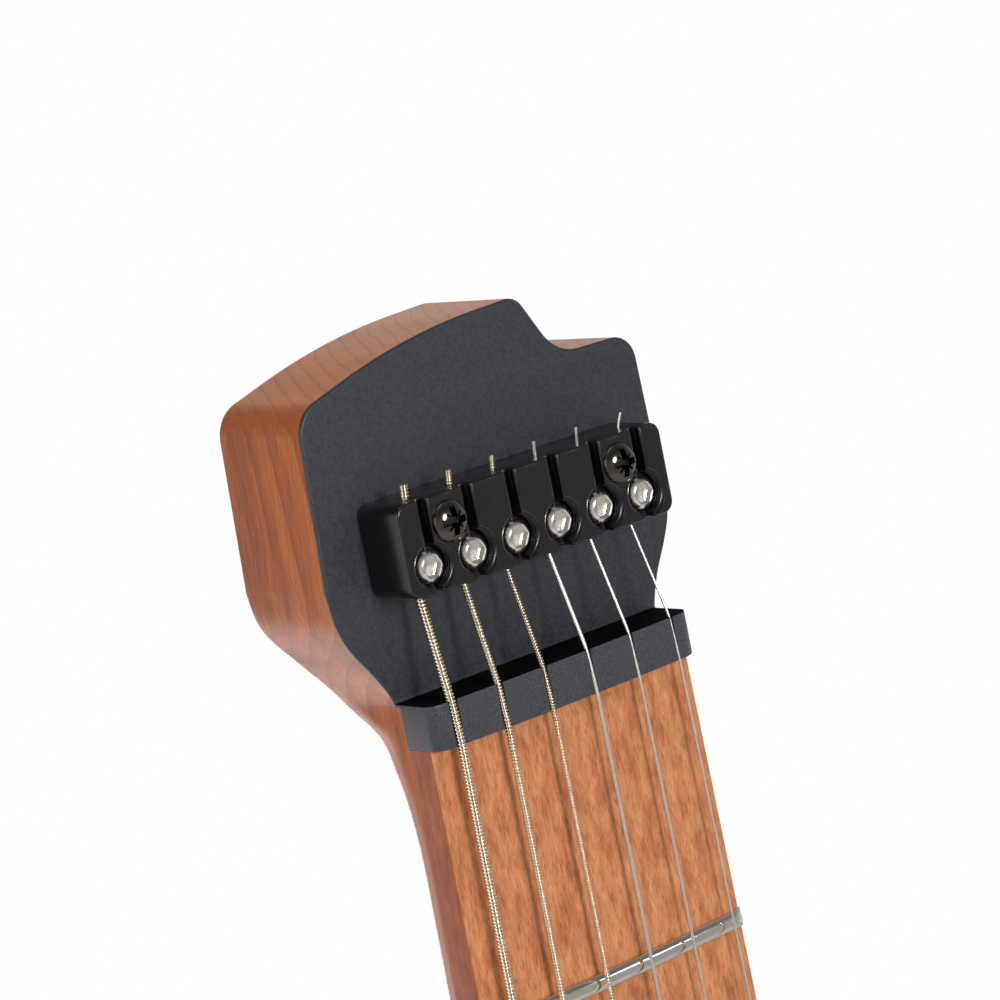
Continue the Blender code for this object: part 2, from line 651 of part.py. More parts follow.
def make_neck(parent):
    """Head, flare, neck and heel as one skin.

    The neck is a run of sections that grow from the heel's square to the neck's round back and out to the head's
    square again. The head goes on from the last section with a wall that follows the outline of its tip.
    """
    work = bmesh.new()
    heel_top = BOARD_END - HEEL_LENGTH
    heel_half = half_board(BOARD_END)
    rings = []
    for distance in (BOARD_END, heel_top + 1.5 * MM):
        wide = half_board(distance) if distance < BOARD_END else heel_half
        rings.append(neck_ring(distance, -wide, wide, HEEL_DEPTH, HEEL_SQUARENESS))
    for step in (0.25, 0.55, 0.85, 1.0):
        distance = heel_top - HEEL_BLEND * step
        ease = 1 - (1 - step) ** 2
        depth = HEEL_DEPTH + (NECK_DEPTH_HEEL - HEEL_DEPTH) * ease
        square = HEEL_SQUARENESS * (1 - ease) + NECK_SQUARENESS * ease
        wide = half_board(distance)
        rings.append(neck_ring(distance, -wide, wide, depth, square))
    for step in range(1, 6):
        distance = (heel_top - HEEL_BLEND) * (1 - step / 6)
        share = distance / (heel_top - HEEL_BLEND)
        depth = NECK_DEPTH_NUT + (NECK_DEPTH_HEEL - NECK_DEPTH_NUT) * share
        wide = half_board(distance)
        rings.append(neck_ring(distance, -wide, wide, depth, NECK_SQUARENESS))
    for height in FLARE_STEPS:
        left, right, depth, square = flare_section(height)
        if height < 0:
            wide = half_board(-height * MM)
            left, right = min(-wide, left), max(wide, right)
        face = WOOD_FACE if height < HEAD_STEP else HEAD_WOOD
        rings.append(neck_ring(-height * MM, left, right, depth, square, face))

    rim = head_rim()
    wall = back_wall()
    rows = []
    for index, point in enumerate(rim):
        before = rim[max(index - 1, 0)]
        after = rim[min(index + 1, len(rim) - 1)]
        along = (after - before).normalized()
        inward = Vector((along.y, -along.x))
        if index in (0, len(rim) - 1):
            inward = Vector((1 if index == 0 else -1, 0))
        rows.append([(point + inward * inset, depth) for inset, depth in wall])
    rows = [[(spot.x, behind(depth), down(-spot.y)) for spot, depth in row] for row in rows]
    shoulder = rows[0] + rows[-1][::-1]
    rings.append(shoulder)

    verts = [[work.verts.new(point) for point in ring] for ring in rings]
    count = len(verts[0])
    for first, second in zip(verts, verts[1:]):
        for index in range(count):
            after = (index + 1) % count
            work.faces.new((first[index], first[after], second[after], second[index]))
    work.faces.new(verts[0])
    left_row = verts[-1][:SECTION_HALF]
    right_row = verts[-1][SECTION_HALF:][::-1]
    columns = [left_row] + [[work.verts.new(point) for point in row] for row in rows[1:-1]] + [right_row]
    for first, second in zip(columns, columns[1:]):
        for index in range(SECTION_HALF - 1):
            work.faces.new((first[index], first[index + 1], second[index + 1], second[index]))
    work.faces.new([column[0] for column in columns])
    work.faces.new([column[-1] for column in columns])
    neck = piece("neck", to_mesh("neck", work), ROASTED_MAPLE, parent=parent)

    channel_half = ROD_WIDTH / 2 + GAP
    channel = cutter("rod_channel", block(
        "rod_channel",
        (-channel_half, behind(WOOD_FACE) - OVER, down(BOARD_END + OVER)),
        (channel_half, behind(WOOD_FACE + ROD_HEIGHT + 2 * GAP), down(ROD_START - GAP)),
    ))
    holes = [channel]
    for x, z in fixing_places():
        start = behind(HEAD_WOOD) - OVER
        end = behind(HEAD_WOOD + SCREW_DEPTH_IN_HEAD + GAP)
        hole = rod("fixing_pilot", FIXING_SHANK_RADIUS + GAP, (x, start, z), (x, end, z), 12)
        holes.append(cutter("fixing_pilot", hole))
    for x, z in bolt_places():
        start = behind(HEEL_DEPTH) + OVER
        end = behind(HEEL_DEPTH - BOLT_IN_NECK - GAP)
        hole = rod("bolt_pilot", BOLT_RADIUS + GAP, (x, start, z), (x, end, z), 12)
        holes.append(cutter("bolt_pilot", hole))
    combine(neck, holes)
    return neck


def bolt_places():
    lower = BOARD_END - BOLT_FROM_END
    return [
        (across * BOLT_SPACING_X / 2, down(distance))
        for across in (-1, 1) for distance in (lower - BOLT_SPACING_Z, lower)
    ]


def make_board(parent):
    """Fingerboard with its frets: one skin whose crowned face steps over each fret's crown."""
    across = [2 * step / BOARD_STEPS - 1 for step in range(BOARD_STEPS + 1)]
    stations = [(GAP, 0)]
    for number in range(1, FRET_COUNT + 1):
        place = fret_distance(number)
        half = FRET_WIDTH / 2
        stations += [
            (place - half, 0), (place - half * FRET_FLANK, 1), (place + half * FRET_FLANK, 1), (place + half, 0),
        ]
    stations.append((BOARD_END, 0))
    rings = []
    for distance, rise in stations:
        wide = half_board(distance)
        ring = []
        for share in across:
            x = share * wide
            bevel = FRET_END if abs(share) == 1 else 1
            depth = crown(x) - rise * FRET_HEIGHT * bevel
            ring.append((x, behind(depth), down(distance)))
        ring += [(wide, behind(BOARD_THICKNESS), down(distance)), (-wide, behind(BOARD_THICKNESS), down(distance))]
        rings.append(ring)
    return piece("fingerboard", loft("fingerboard", rings), ROASTED_MAPLE, parent=parent)


def make_head_face(parent):
    """Thin dark face of the head, from the nut to the tip."""
    low = NUT_WIDTH + GAP
    heights = [low / MM, 9, 11, 13, 15, 17, 19]
    left = [Vector((flare_section(height)[0], height * MM)) for height in heights]
    right = [Vector((flare_section(height)[1], height * MM)) for height in reversed(heights)]
    points = [(spot.x, down(-spot.y)) for spot in left + head_rim() + right]
    front = behind(HEAD_FACE_DEPTH)
    mesh = plate("head_face", points, front, behind(HEAD_FACE_DEPTH + FACE_THICKNESS))
    face = piece("head_face", mesh, CHARCOAL, parent=parent)
    holes = []
    for x, z in fixing_places():
        hole = rod("face_hole", FIXING_SHANK_RADIUS + GAP, (x, front - OVER, z), (x, front + OVER, z), 12)
        holes.append(cutter("face_hole", hole))
    combine(face, holes)
    return face


def make_nut(parent):
    """Nut block with a crowned top, rounded ends and a slot for each string."""
    half = NUT_LENGTH / 2
    foot = behind(BOARD_THICKNESS)
    rings = []
    for height in (0, NUT_WIDTH):
        ring = []
        for step in range(-NUT_STEPS, NUT_STEPS + 1):
            x = half * step / NUT_STEPS
            ring.append((x, behind(crown(x) - NUT_ABOVE_BOARD), down(-height)))
        ring += [(half, foot, down(-height)), (-half, foot, down(-height))]
        rings.append(ring)
    mesh = loft("nut", rings)
    top_corner = behind(crown(half) - NUT_ABOVE_BOARD)

    def end_edge(edge):
        level = abs(edge.verts[0].co.x - edge.verts[1].co.x) < MERGE
        return level and all(abs(abs(v.co.x) - half) < MERGE and v.co.y < top_corner + MM for v in edge.verts)

    soften(mesh, end_edge, NUT_END_ROUND, 3)
    nut = piece("nut", mesh, GRAPHITE, parent=parent)
    slots = []
    for index, radius in enumerate(STRING_RADII):
        far, near = [Vector(place) for place in string_route(index)[2:4]]
        past = (far - near).normalized() * OVER
        reach = radius + GAP
        slots.append(cutter("nut_slot", rod("nut_slot", reach, near - past, far + past, 8)))
        half_mouth = reach * 0.9
        length = (far - near).length + 2 * OVER
        mouth = block("slot_mouth", (-half_mouth, -SLOT_RISE, 0), (half_mouth, 0, length))
        aim = (far - near).to_track_quat("Z", "Y").to_matrix().to_4x4()
        mouth.transform(Matrix.Translation(near - past) @ aim)
        slots.append(cutter("slot_mouth", mouth))
    combine(nut, slots)
    return nut


def lock_string_y(height):
    """Y of a string's centre in the lock, at a height above the nut."""
    share = (height - LOCK_BOTTOM) / LOCK_HEIGHT
    return behind(HEAD_FACE_DEPTH - LOCK_STRING_LOW - (LOCK_STRING_HIGH - LOCK_STRING_LOW) * share)


def string_route(index):
    """Points that a string runs through, from its end above the lock to the ball in its carriage."""
    lock_x = string_share(index) * LOCK_PITCH * (STRING_COUNT - 1)
    tip = LOCK_BOTTOM + LOCK_HEIGHT + STRING_END
    entry = LOCK_BOTTOM - GAP
    nut_depth = string_depth(index, 0)
    fall = (HEAD_FACE_DEPTH - LOCK_STRING_LOW - nut_depth) * NUT_BREAK
    saddle = saddle_distance(index)
    bridge_x = string_x(index, SCALE_LENGTH)
    pocket = SCALE_LENGTH + CARRIAGE_FRONT + POCKET_FROM_FRONT + BALL_POCKET / 2
    ball_y = behind(BODY_DROP - PULL_HEIGHT)
    ball_front = pocket - BALL_LENGTH / 2
    return [
        (lock_x, lock_string_y(tip), down(-tip)),
        (lock_x, lock_string_y(entry), down(-entry)),
        (string_x(index, 0), behind(nut_depth + fall), down(-NUT_WIDTH)),
        (string_x(index, 0), behind(nut_depth), down(0)),
        (bridge_x, behind(string_depth(index, saddle)), down(saddle)),
        (bridge_x, ball_y, down(ball_front)),
        (bridge_x, ball_y, down(ball_front + 0.2 * MM)),
        (bridge_x, ball_y, down(ball_front + BALL_LENGTH)),
    ]


def make_strings(parent):
    for index, radius in enumerate(STRING_RADII):
        name = f"string_{index + 1}"
        curve = bpy.data.curves.new(name, "CURVE")
        curve.dimensions = "3D"
        curve.bevel_depth = radius
        curve.bevel_resolution = 1
        curve.use_fill_caps = True
        route = string_route(index)
        spline = curve.splines.new("POLY")
        spline.points.add(len(route) - 1)
        for knot, place in zip(spline.points, route):
            knot.co = (*place, 1)
        for knot in spline.points[-2:]:
            knot.radius = BALL_RADIUS / radius
        piece(name, curve, STRING_STEEL, parent=parent)


def make_truss_rod(parent):
    """Two-way rod in the neck's channel, and the spoked wheel that turns its nut at the board's end."""
    half = ROD_WIDTH / 2
    front = behind(WOOD_FACE + GAP)
    back = front + ROD_HEIGHT
    middle = (front + back) / 2
    bar = block("truss_rod", (-half, front, down(BOARD_END - MM)), (half, back, down(ROD_START)), ROD_EDGE)
    rod_piece = piece("truss_rod", bar, NICKEL, parent=parent)
    stub_end = BOARD_END + WHEEL_LENGTH - MM
    stub = rod("rod_stub", STUB_RADIUS, (0, middle, down(BOARD_END - 3 * MM)), (0, middle, down(stub_end)), 12)
    combine(rod_piece, [cutter("rod_stub", stub)], "UNION")

    bore = STUB_RADIUS + RUN
    chamfer = WHEEL_RADIUS - WHEEL_RIM
    profile = [
        (bore, WHEEL_LENGTH), (chamfer, WHEEL_LENGTH), (WHEEL_RADIUS, WHEEL_LENGTH - WHEEL_RIM),
        (WHEEL_RADIUS, WHEEL_RIM), (chamfer, 0), (bore, 0), (bore, WHEEL_LENGTH),
    ]
    place = (0, middle, down(BOARD_END + GAP + WHEEL_LENGTH))
    wheel = piece("truss_rod_wheel", turned("truss_rod_wheel", profile, "Z", 18), NICKEL, place, parent)
    spokes = []
    for number in range(WHEEL_HOLES):
        angle = 2 * math.pi * number / WHEEL_HOLES
        out = Vector((math.cos(angle), math.sin(angle), 0))
        level = Vector((0, 0, WHEEL_LENGTH / 2))
        inner = level + out * (bore + WHEEL_RIM)
        outer = level + out * (WHEEL_RADIUS + MM)
        spokes.append(cutter("spoke", rod("spoke", WHEEL_HOLE_RADIUS, inner, outer, 8), place, parent))
    combine(wheel, spokes)


def fixing_places():
    """X and Z of the lock's two fixing screws."""
    return [(side * FIXING_PITCHES * LOCK_PITCH, down(-FIXING_ABOVE_NUT)) for side in (-1, 1)]


def lock_x(index):
    return string_share(index) * LOCK_PITCH * (STRING_COUNT - 1)


def make_lock(parent):
    """String lock: a bar with a groove, a seat and a clamping screw for each string, and two fixing screws."""
    back = behind(HEAD_FACE_DEPTH - GAP)
    front = back - LOCK_THICKNESS
    low = down(-LOCK_BOTTOM)
    high = low + LOCK_HEIGHT
    half = LOCK_LENGTH / 2
    corners = [(-half, low), (-half, high), (half, high), (half, low)]
    outline = rounded([(x, z, LOCK_CORNER) for x, z in corners], steps=4)
    mesh = plate("string_lock_bar", outline, front, back)
    soften(mesh, on_plane(1, front), 0.35 * MM, 1)
    bar = piece("string_lock_bar", mesh, BLACK_METAL, parent=parent)
    clamped_y = lock_string_y(CLAMP_ABOVE_NUT)
    clamp_z = down(-CLAMP_ABOVE_NUT)
    cuts = []
    for index in range(STRING_COUNT):
        x = lock_x(index)
        low_corner = (x - LOCK_GROOVE / 2, front - OVER, low - OVER)
        high_corner = (x + LOCK_GROOVE / 2, front + LOCK_GROOVE_DEPTH, high + OVER)
        groove = block("groove", low_corner, high_corner)
        seat_floor = front + CLAMP_SEAT_DEPTH
        seat = rod("seat", CLAMP_SEAT_RADIUS, (x, front - OVER, clamp_z), (x, seat_floor, clamp_z), 14)
        entry = (x, lock_string_y(LOCK_BOTTOM - OVER), low - OVER)
        leaving = (x, lock_string_y(LOCK_BOTTOM + LOCK_HEIGHT + OVER), high + OVER)
        bore = rod("string_bore", LOCK_BORE, entry, leaving, 6)
        tap = rod("tap", CLAMP_SHANK_RADIUS + RUN, (x, front, clamp_z), (x, clamped_y + 0.1 * MM, clamp_z), 8)
        cuts += [cutter(data.name, data) for data in (groove, seat, tap, bore)]
    for x, z in fixing_places():
        seat_floor = front + FIXING_SEAT_DEPTH
        seat = rod("fixing_seat", FIXING_HEAD_RADIUS + GAP, (x, front - OVER, z), (x, seat_floor, z), 14)
        hole = rod("fixing_hole", FIXING_SHANK_RADIUS + GAP, (x, front, z), (x, back + OVER, z), 8)
        cuts += [cutter(data.name, data) for data in (seat, hole)]
    combine(bar, cuts)

    for index, string_radius in enumerate(STRING_RADII):
        place = (lock_x(index), front + CLAMP_SEAT_DEPTH - GAP, clamp_z)
        shank = clamped_y - string_radius - GAP - place[1]
        sizes = (CLAMP_HEAD_RADIUS, CLAMP_HEAD_HEIGHT, CLAMP_SHANK_RADIUS, shank)
        screw_piece(f"clamp_screw_{index + 1}", sizes, NICKEL, place, parent)
    for number, (x, z) in enumerate(fixing_places(), 1):
        place = (x, front + FIXING_SEAT_DEPTH - GAP, z)
        shank = behind(HEAD_WOOD + SCREW_DEPTH_IN_HEAD) - place[1]
        sizes = (FIXING_HEAD_RADIUS, FIXING_HEAD_HEIGHT, FIXING_SHANK_RADIUS, shank)
        screw_piece(f"lock_mount_screw_{number}", sizes, BLACK_METAL, place, parent, cross=True)


def screw_piece(name, sizes, material, place, parent, cross=False):
    """Domed screw facing -Y: its head stands in front of place, its shank runs behind it."""
    head, height, shank_radius, shank = sizes
    dome = [
        (0, height), (head * 0.55, height * 0.88), (head, height * 0.2), (head, 0),
        (shank_radius, 0), (shank_radius, -shank), (0, -shank),
    ]
    made = piece(name, turned(name, dome, "-Y", 12), material, place, parent)
    over = -height - MM
    floor = -height * 0.25
    if cross:
        arm = head * 0.62
        slim = head * 0.13
        tools = [
            block("drive", (-arm, over, -slim), (arm, floor, slim)),
            block("drive", (-slim, over, -arm), (slim, floor, arm)),
        ]
    else:
        tools = [rod("drive", head * 0.52, (0, over, 0), (0, floor, 0), 6)]
    combine(made, [cutter("drive", tool, place, parent) for tool in tools])


# Body outline, clockwise from the bass side of the neck joint: right of centre and down from the nut, in mm. It and
# the other places on the body are drawn for a scale of DRAWN_SCALE and a board that ends at DRAWN_BOARD_END.
DRAWN_SCALE = 648
DRAWN_BOARD_END = 493
BODY_OUTLINE = [
    (-33, 440), (-43, 410), (-68, 374), (-98, 342), (-122, 334), (-138, 352), (-140, 392), (-128, 440),
    (-118, 486), (-126, 540), (-148, 596), (-160, 650), (-150, 704), (-118, 738), (-84, 742), (-62, 730),
    (-46, 724), (46, 724), (62, 730), (84, 742), (118, 736), (148, 704), (158, 660), (150, 610),
    (130, 560), (116, 510), (120, 466), (130, 424), (124, 392), (104, 394), (76, 418), (52, 436), (33, 445),
]
FOREARM_LINE = [(-112, 548), (-92, 742)]  # where the forearm's plane leaves the face
BELLY_PLACE = (-62, 536)  # where the hollow for the belly fades out on the back


def drawn(x, distance):
    """X and Z of a place on the body's drawing.

    Above the board's end the body keeps to the neck joint, and below the saddles to the bridge. What lies between
    is spread out evenly.
    """
    if distance <= DRAWN_BOARD_END:
        built = BOARD_END + (distance - DRAWN_BOARD_END) * MM
    elif distance >= DRAWN_SCALE:
        built = SCALE_LENGTH + (distance - DRAWN_SCALE) * MM
    else:
        share = (distance - DRAWN_BOARD_END) / (DRAWN_SCALE - DRAWN_BOARD_END)
        built = BOARD_END + (SCALE_LENGTH - BOARD_END) * share
    return x * MM, down(built)


def body_points():
    return [drawn(*place) for place in BODY_OUTLINE]


def cavity_points(grow):
    """Outline of the control cavity, grown by a ledge."""
    corners = [Vector(drawn(*place)) for place in CAVITY]
    middle = sum(corners, Vector((0, 0))) / len(corners)
    grown = [corner + (corner - middle).normalized() * grow for corner in corners]
    return rounded([(*corner, CAVITY_CORNER) for corner in grown], steps=3)


def pickup_places():
    return {
        "neck_pickup": BOARD_END + NECK_PICKUP_FROM_BOARD + PICKUP_LENGTH / 2,
        "bridge_pickup": SCALE_LENGTH - BRIDGE_PICKUP_FROM_SADDLES,
    }


def forearm_cut():
    """Block whose back is the plane that leaves the face along FOREARM_LINE and falls away to the bass side."""
    ends = [Vector((x, FACE, z)) for x, z in (drawn(*place) for place in FOREARM_LINE)]
    up = (ends[0] - ends[1]).normalized()
    behind_face = Vector((0, 1, 0))
    axes = Matrix((behind_face.cross(up), behind_face, up)).transposed().to_4x4()
    tilt = Matrix.Rotation(-math.atan2(FOREARM_DEPTH, FOREARM_WIDTH), 4, "Z")
    reach = CONTOUR_REACH
    data = block("forearm_cut", (-reach, -reach, -reach), (reach, 0, reach))
    data.transform(Matrix.Translation((ends[0] + ends[1]) / 2) @ axes @ tilt)
    return data


def belly_cut():
    """Large roller laid aslant on the back, so that its hollow fades out inwards and along the body."""
    x, z = drawn(*BELLY_PLACE)
    slope = BELLY_DEPTH / BELLY_WIDTH
    middle = Vector((x, BACK + BELLY_RADIUS * math.hypot(1, slope), z))
    aslant = Vector((-BELLY_WIDTH, -BELLY_DEPTH, 0))
    return rod("belly_cut", BELLY_RADIUS, middle - aslant, middle + aslant * 2.5, 64)


def body_cutters():
    """Cutters shared by the top and the body: neck pocket, pickup cavities, contours and the wheel's recess."""
    front = FACE - OVER
    pocket_half = half_board(BOARD_END) + GAP
    pocket_top = down(BOARD_END - HEEL_LENGTH - POCKET_PAST)
    pocket_floor = behind(HEEL_DEPTH + GAP)
    recess_half = WHEEL_RADIUS + WHEEL_ROOM
    recess_low = down(BOARD_END + GAP + WHEEL_LENGTH + WHEEL_ROOM)
    recess_top = down(BOARD_END - OVER)
    recess_floor = behind(WOOD_FACE + GAP + ROD_HEIGHT / 2) + recess_half
    made = [
        block("neck_pocket", (-pocket_half, front, down(BOARD_END + GAP)), (pocket_half, pocket_floor, pocket_top)),
        block("wheel_recess", (-recess_half, front, recess_low), (recess_half, recess_floor, recess_top)),
        forearm_cut(),
        belly_cut(),
    ]
    across = PICKUP_WIDTH / 2 + PICKUP_MARGIN
    along = PICKUP_LENGTH / 2 + PICKUP_MARGIN
    floor = behind(pickup_top() + PICKUP_HEIGHT + PICKUP_ROOM)
    for name, distance in pickup_places().items():
        corners = [(-across, along), (-across, -along), (across, -along), (across, along)]
        outline = rounded([(x, down(distance + z), POCKET_CORNER) for x, z in corners], steps=3)
        made.append(plate(f"{name}_cavity", outline, front, floor))
    return [cutter(data.name, data) for data in made]


def pickup_top():
    """Depth of the pickups' faces behind the board's face."""
    return string_depth(2, SCALE_LENGTH) + PICKUP_BELOW_STRINGS


def make_body(parent):
    """Body and its dark top, cut from one outline."""
    body_mesh = plate("body", body_points(), TOP_BACK + GAP, BACK, BODY_TURNS)
    soften(body_mesh, on_plane(1, BACK), BODY_BACK_ROUND, 2)
    body = piece("body", faceted(body_mesh), BODY_WOOD, parent=parent)
    top_mesh = plate("body_top", body_points(), FACE, TOP_BACK, BODY_TURNS)
    soften(top_mesh, on_plane(1, FACE), TOP_EDGE_ROUND, 1)
    top = piece("body_top", faceted(top_mesh), CHARCOAL, parent=parent)
    shared = body_cutters()
    combine(body, shared + body_holes())
    combine(top, shared + top_holes())


def body_holes():
    """Cutters for the body alone: control cavity, its cover's ledge, socket, neck bolts and strap screws."""
    ledge_front = BACK - COVER_THICKNESS - GAP
    made = [
        plate("control_cavity", cavity_points(0), TOP_BACK - OVER, BACK + OVER),
        plate("cover_ledge", cavity_points(COVER_LEDGE), ledge_front, BACK + OVER),
    ]
    side, jack_z = drawn(*JACK_PLACE)
    half = JACK_PLATE / 2 + GAP
    seat_low = (jack_seat(), BODY_MIDDLE - half, jack_z - half)
    seat_high = (side + JACK_PLATE, BODY_MIDDLE + half, jack_z + half)
    outside = (side + OVER, BODY_MIDDLE, jack_z)
    inside = (side - JACK_REACH, BODY_MIDDLE, jack_z)
    made += [block("jack_seat", seat_low, seat_high), rod("jack_hole", JACK_HOLE, outside, inside, 20)]
    for x, z in bolt_places():
        outside = (x, BACK + OVER, z)
        sink_floor = (x, BACK - BOLT_HEAD_HEIGHT - GAP, z)
        made.append(rod("bolt_hole", BOLT_RADIUS + GAP, outside, (x, behind(HEEL_DEPTH) - MM, z), 12))
        made.append(rod("bolt_sink", BOLT_HEAD_RADIUS + GAP, outside, sink_floor, 16))
    for _, place, direction in strap_places():
        up = Vector((0, 0, direction))
        end = Vector(place) - up * (BUTTON_SCREW_LENGTH + GAP)
        made.append(rod("strap_hole", BUTTON_SCREW_RADIUS + GAP, Vector(place) + up * OVER, end, 12))
    return [cutter(data.name, data) for data in made]


def top_holes():
    """Cutters for the top alone: the pots' bushes and the lever's slot."""
    front = FACE - OVER
    back = TOP_BACK + OVER
    made = []
    for place in KNOBS.values():
        x, z = drawn(*place)
        made.append(rod("bush_hole", BUSH_RADIUS + GAP, (x, front, z), (x, back, z), 16))
    x, z = drawn(*SWITCH_PLACE)
    reach = lever_swing(PIVOT_DEPTH + TOP_THICKNESS)
    slot_half = LEVER_THICKNESS / 2 + 2 * GAP
    made.append(block("switch_slot", (x - slot_half, front, z - reach), (x + slot_half, back, z + reach)))
    return [cutter(data.name, data) for data in made]


def lever_swing(height):
    """Half the length of the slot that the lever needs at a height above its pivot."""
    return height * math.tan(math.radians(SWITCH_ANGLE)) + LEVER_WIDTH / 2 + LEVER_ROOM


def jack_seat():
    """X of the flat that the socket's plate lies on."""
    return drawn(*JACK_PLACE)[0] - JACK_PLATE_THICKNESS - JACK_PLATE_SUNK


def strap_places():
    """Name, seat and direction along Z of each strap button."""
    places = []
    for name, direction in (("upper", 1), ("lower", -1)):
        x, z = drawn(*BUTTONS[name])
        places.append((f"strap_button_{name}", (x, BODY_MIDDLE, z), direction))
    return places


def make_bridge(parent):
    """Fixed bridge: milled base, six saddles, and six carriages drawn back by knurled thumb screws."""
    datum = empty("bridge_datum", (0, FACE, down(SCALE_LENGTH)))
    datum.parent = parent
    half = BRIDGE_WIDTH / 2
    base_back = -GAP
    floor = base_back - BRIDGE_PLATE
    roof = base_back - HOUSING_HEIGHT
    side_view = [
        (base_back, BRIDGE_FRONT), (floor, BRIDGE_FRONT), (floor, -HOUSING_FRONT), (roof, -HOUSING_FRONT),
        (roof, -BRIDGE_REAR), (base_back, -BRIDGE_REAR),
    ]
    mesh = profile_bar("bridge_base", side_view, half)
    for side in (-half, half):
        soften(mesh, on_plane(0, side), BRIDGE_EDGE, 1)
    base = piece("bridge_base", mesh, BLACK_METAL, parent=datum)
    wall_front = REAR_WALL - BRIDGE_REAR
    housing_end = OVER - HOUSING_FRONT
    channel_half = CARRIAGE_WIDTH / 2 + GAP
    cuts = []
    for index in range(STRING_COUNT):
        x = string_x(index, SCALE_LENGTH)
        low = (x - channel_half, roof - OVER, wall_front)
        channel = block("channel", low, (x + channel_half, floor, housing_end))
        outside = (x, -PULL_HEIGHT, -BRIDGE_REAR - OVER)
        inside = (x, -PULL_HEIGHT, wall_front + OVER)
        hole = rod("pull_hole", PULL_RADIUS + RUN, outside, inside, 12)
        cuts += [cutter(data.name, data, parent=datum) for data in (channel, hole)]
    combine(base, cuts)
    for index in range(STRING_COUNT):
        make_saddle(index, floor, datum)
        make_carriage(index, floor, datum)
        make_tuner(index, datum)


def make_saddle(index, floor, datum):
    """Saddle with a crest, a string notch and two height screws, at its own string's height and length."""
    radius = STRING_RADII[index]
    saddle = saddle_distance(index)
    crest = behind(string_depth(index, saddle)) - FACE + radius + GAP
    base_y = floor - GAP
    low = base_y - SADDLE_BLOCK
    points = [
        (low, SADDLE_FRONT), (crest + 3.4 * MM, SADDLE_FRONT), (crest + 0.5 * MM, 2 * MM), (crest, 0.4 * MM),
        (crest, -0.8 * MM), (crest + 1 * MM, -3 * MM), (crest + 4.6 * MM, -SADDLE_REAR + 2 * MM),
        (crest + 5 * MM, -SADDLE_REAR), (low, -SADDLE_REAR),
    ]
    name = f"saddle_{index + 1}"
    place = (string_x(index, SCALE_LENGTH), 0, -INTONATION[index])
    made = piece(name, profile_bar(name, points, SADDLE_WIDTH / 2), BLACK_METAL, place, datum)
    notch_y = crest - radius - GAP + 0.5 * MM
    notch = rod("notch", radius + GAP, (0, notch_y, 3 * MM), (0, notch_y, -3 * MM), 8)
    combine(made, [cutter("notch", notch, place, datum)])
    grubs = []
    for side in (-1, 1):
        x = side * (SADDLE_WIDTH / 2 - GRUB_RADIUS - GRUB_EDGE)
        grub = rod("grub", GRUB_RADIUS, (x, base_y, GRUB_PLACE), (x, low - 2 * MM, GRUB_PLACE), 10)
        grubs.append(cutter("grub", grub, place, datum))
    combine(made, grubs, "UNION")


def make_carriage(index, floor, datum):
    """Block that holds the string's ball and is drawn back by its thumb screw."""
    name = f"string_carriage_{index + 1}"
    base_y = floor - GAP
    half = CARRIAGE_WIDTH / 2
    place = (string_x(index, SCALE_LENGTH), 0, -CARRIAGE_FRONT)
    mesh = block(name, (-half, base_y - CARRIAGE_HEIGHT, -CARRIAGE_LENGTH), (half, base_y, 0), 0.5 * MM)
    made = piece(name, mesh, BLACK_METAL, place, datum)
    axis_y = -PULL_HEIGHT
    over = base_y - CARRIAGE_HEIGHT - OVER
    pocket_half = BALL_POCKET / 2
    pocket_low = (-pocket_half, over, -POCKET_FROM_FRONT - BALL_POCKET)
    pocket_high = (pocket_half, axis_y + pocket_half, -POCKET_FROM_FRONT)
    slit_half = STRING_RADII[0] + GAP
    slit_low = (-slit_half, over, -POCKET_FROM_FRONT - MM)
    slit_high = (slit_half, axis_y + slit_half, OVER)
    bore_start = (0, axis_y, -CARRIAGE_LENGTH - OVER)
    bore_end = (0, axis_y, -CARRIAGE_LENGTH + BORE_DEPTH)
    cuts = [
        block("ball_pocket", pocket_low, pocket_high),
        block("string_slit", slit_low, slit_high),
        rod("pull_bore", PULL_RADIUS + RUN, bore_start, bore_end, 12),
    ]
    combine(made, [cutter(data.name, data, place, datum) for data in cuts])


def make_tuner(index, datum):
    """Thumb screw: a fluted knob behind the rear wall and a shank into the carriage's bore."""
    name = f"tuner_knob_{index + 1}"
    place = (string_x(index, SCALE_LENGTH), -PULL_HEIGHT, -BRIDGE_REAR - GAP)
    tip = BRIDGE_REAR + GAP - CARRIAGE_FRONT - CARRIAGE_LENGTH + BORE_DEPTH - CARRIAGE_TRAVEL - GAP
    collar = KNOB_RADIUS * 0.72
    chamfer = KNOB_RADIUS - KNOB_RIM
    profile = [
        (0, tip), (PULL_RADIUS, tip), (PULL_RADIUS, 0), (collar, 0), (collar, -COLLAR_LENGTH),
        (chamfer, -COLLAR_LENGTH), (KNOB_RADIUS, -COLLAR_LENGTH - KNOB_RIM), (KNOB_RADIUS, KNOB_RIM - KNOB_LENGTH),
        (chamfer, -KNOB_LENGTH), (0, -KNOB_LENGTH),
    ]
    sides = KNOB_FLUTES * 2
    mesh = fluted(turned(name, profile, "Z", sides), "z", chamfer, FLUTE_DEPTH, sides)
    piece(name, mesh, BLACK_METAL, place, datum)


def fluted(mesh, axis, from_radius, depth, sides):
    """Draws in every second line of points round the axis Y or Z, from a radius outwards, as a grip."""
    other = "yz".index({"y": "z", "z": "y"}[axis]) + 1
    for vert in mesh.vertices:
        reach = math.hypot(vert.co.x, vert.co[other])
        step = round(math.atan2(vert.co[other], vert.co.x) / (2 * math.pi) * sides)
        if reach > from_radius - MERGE and step % 2:
            vert.co.x *= 1 - depth / reach
            vert.co[other] *= 1 - depth / reach
    return mesh


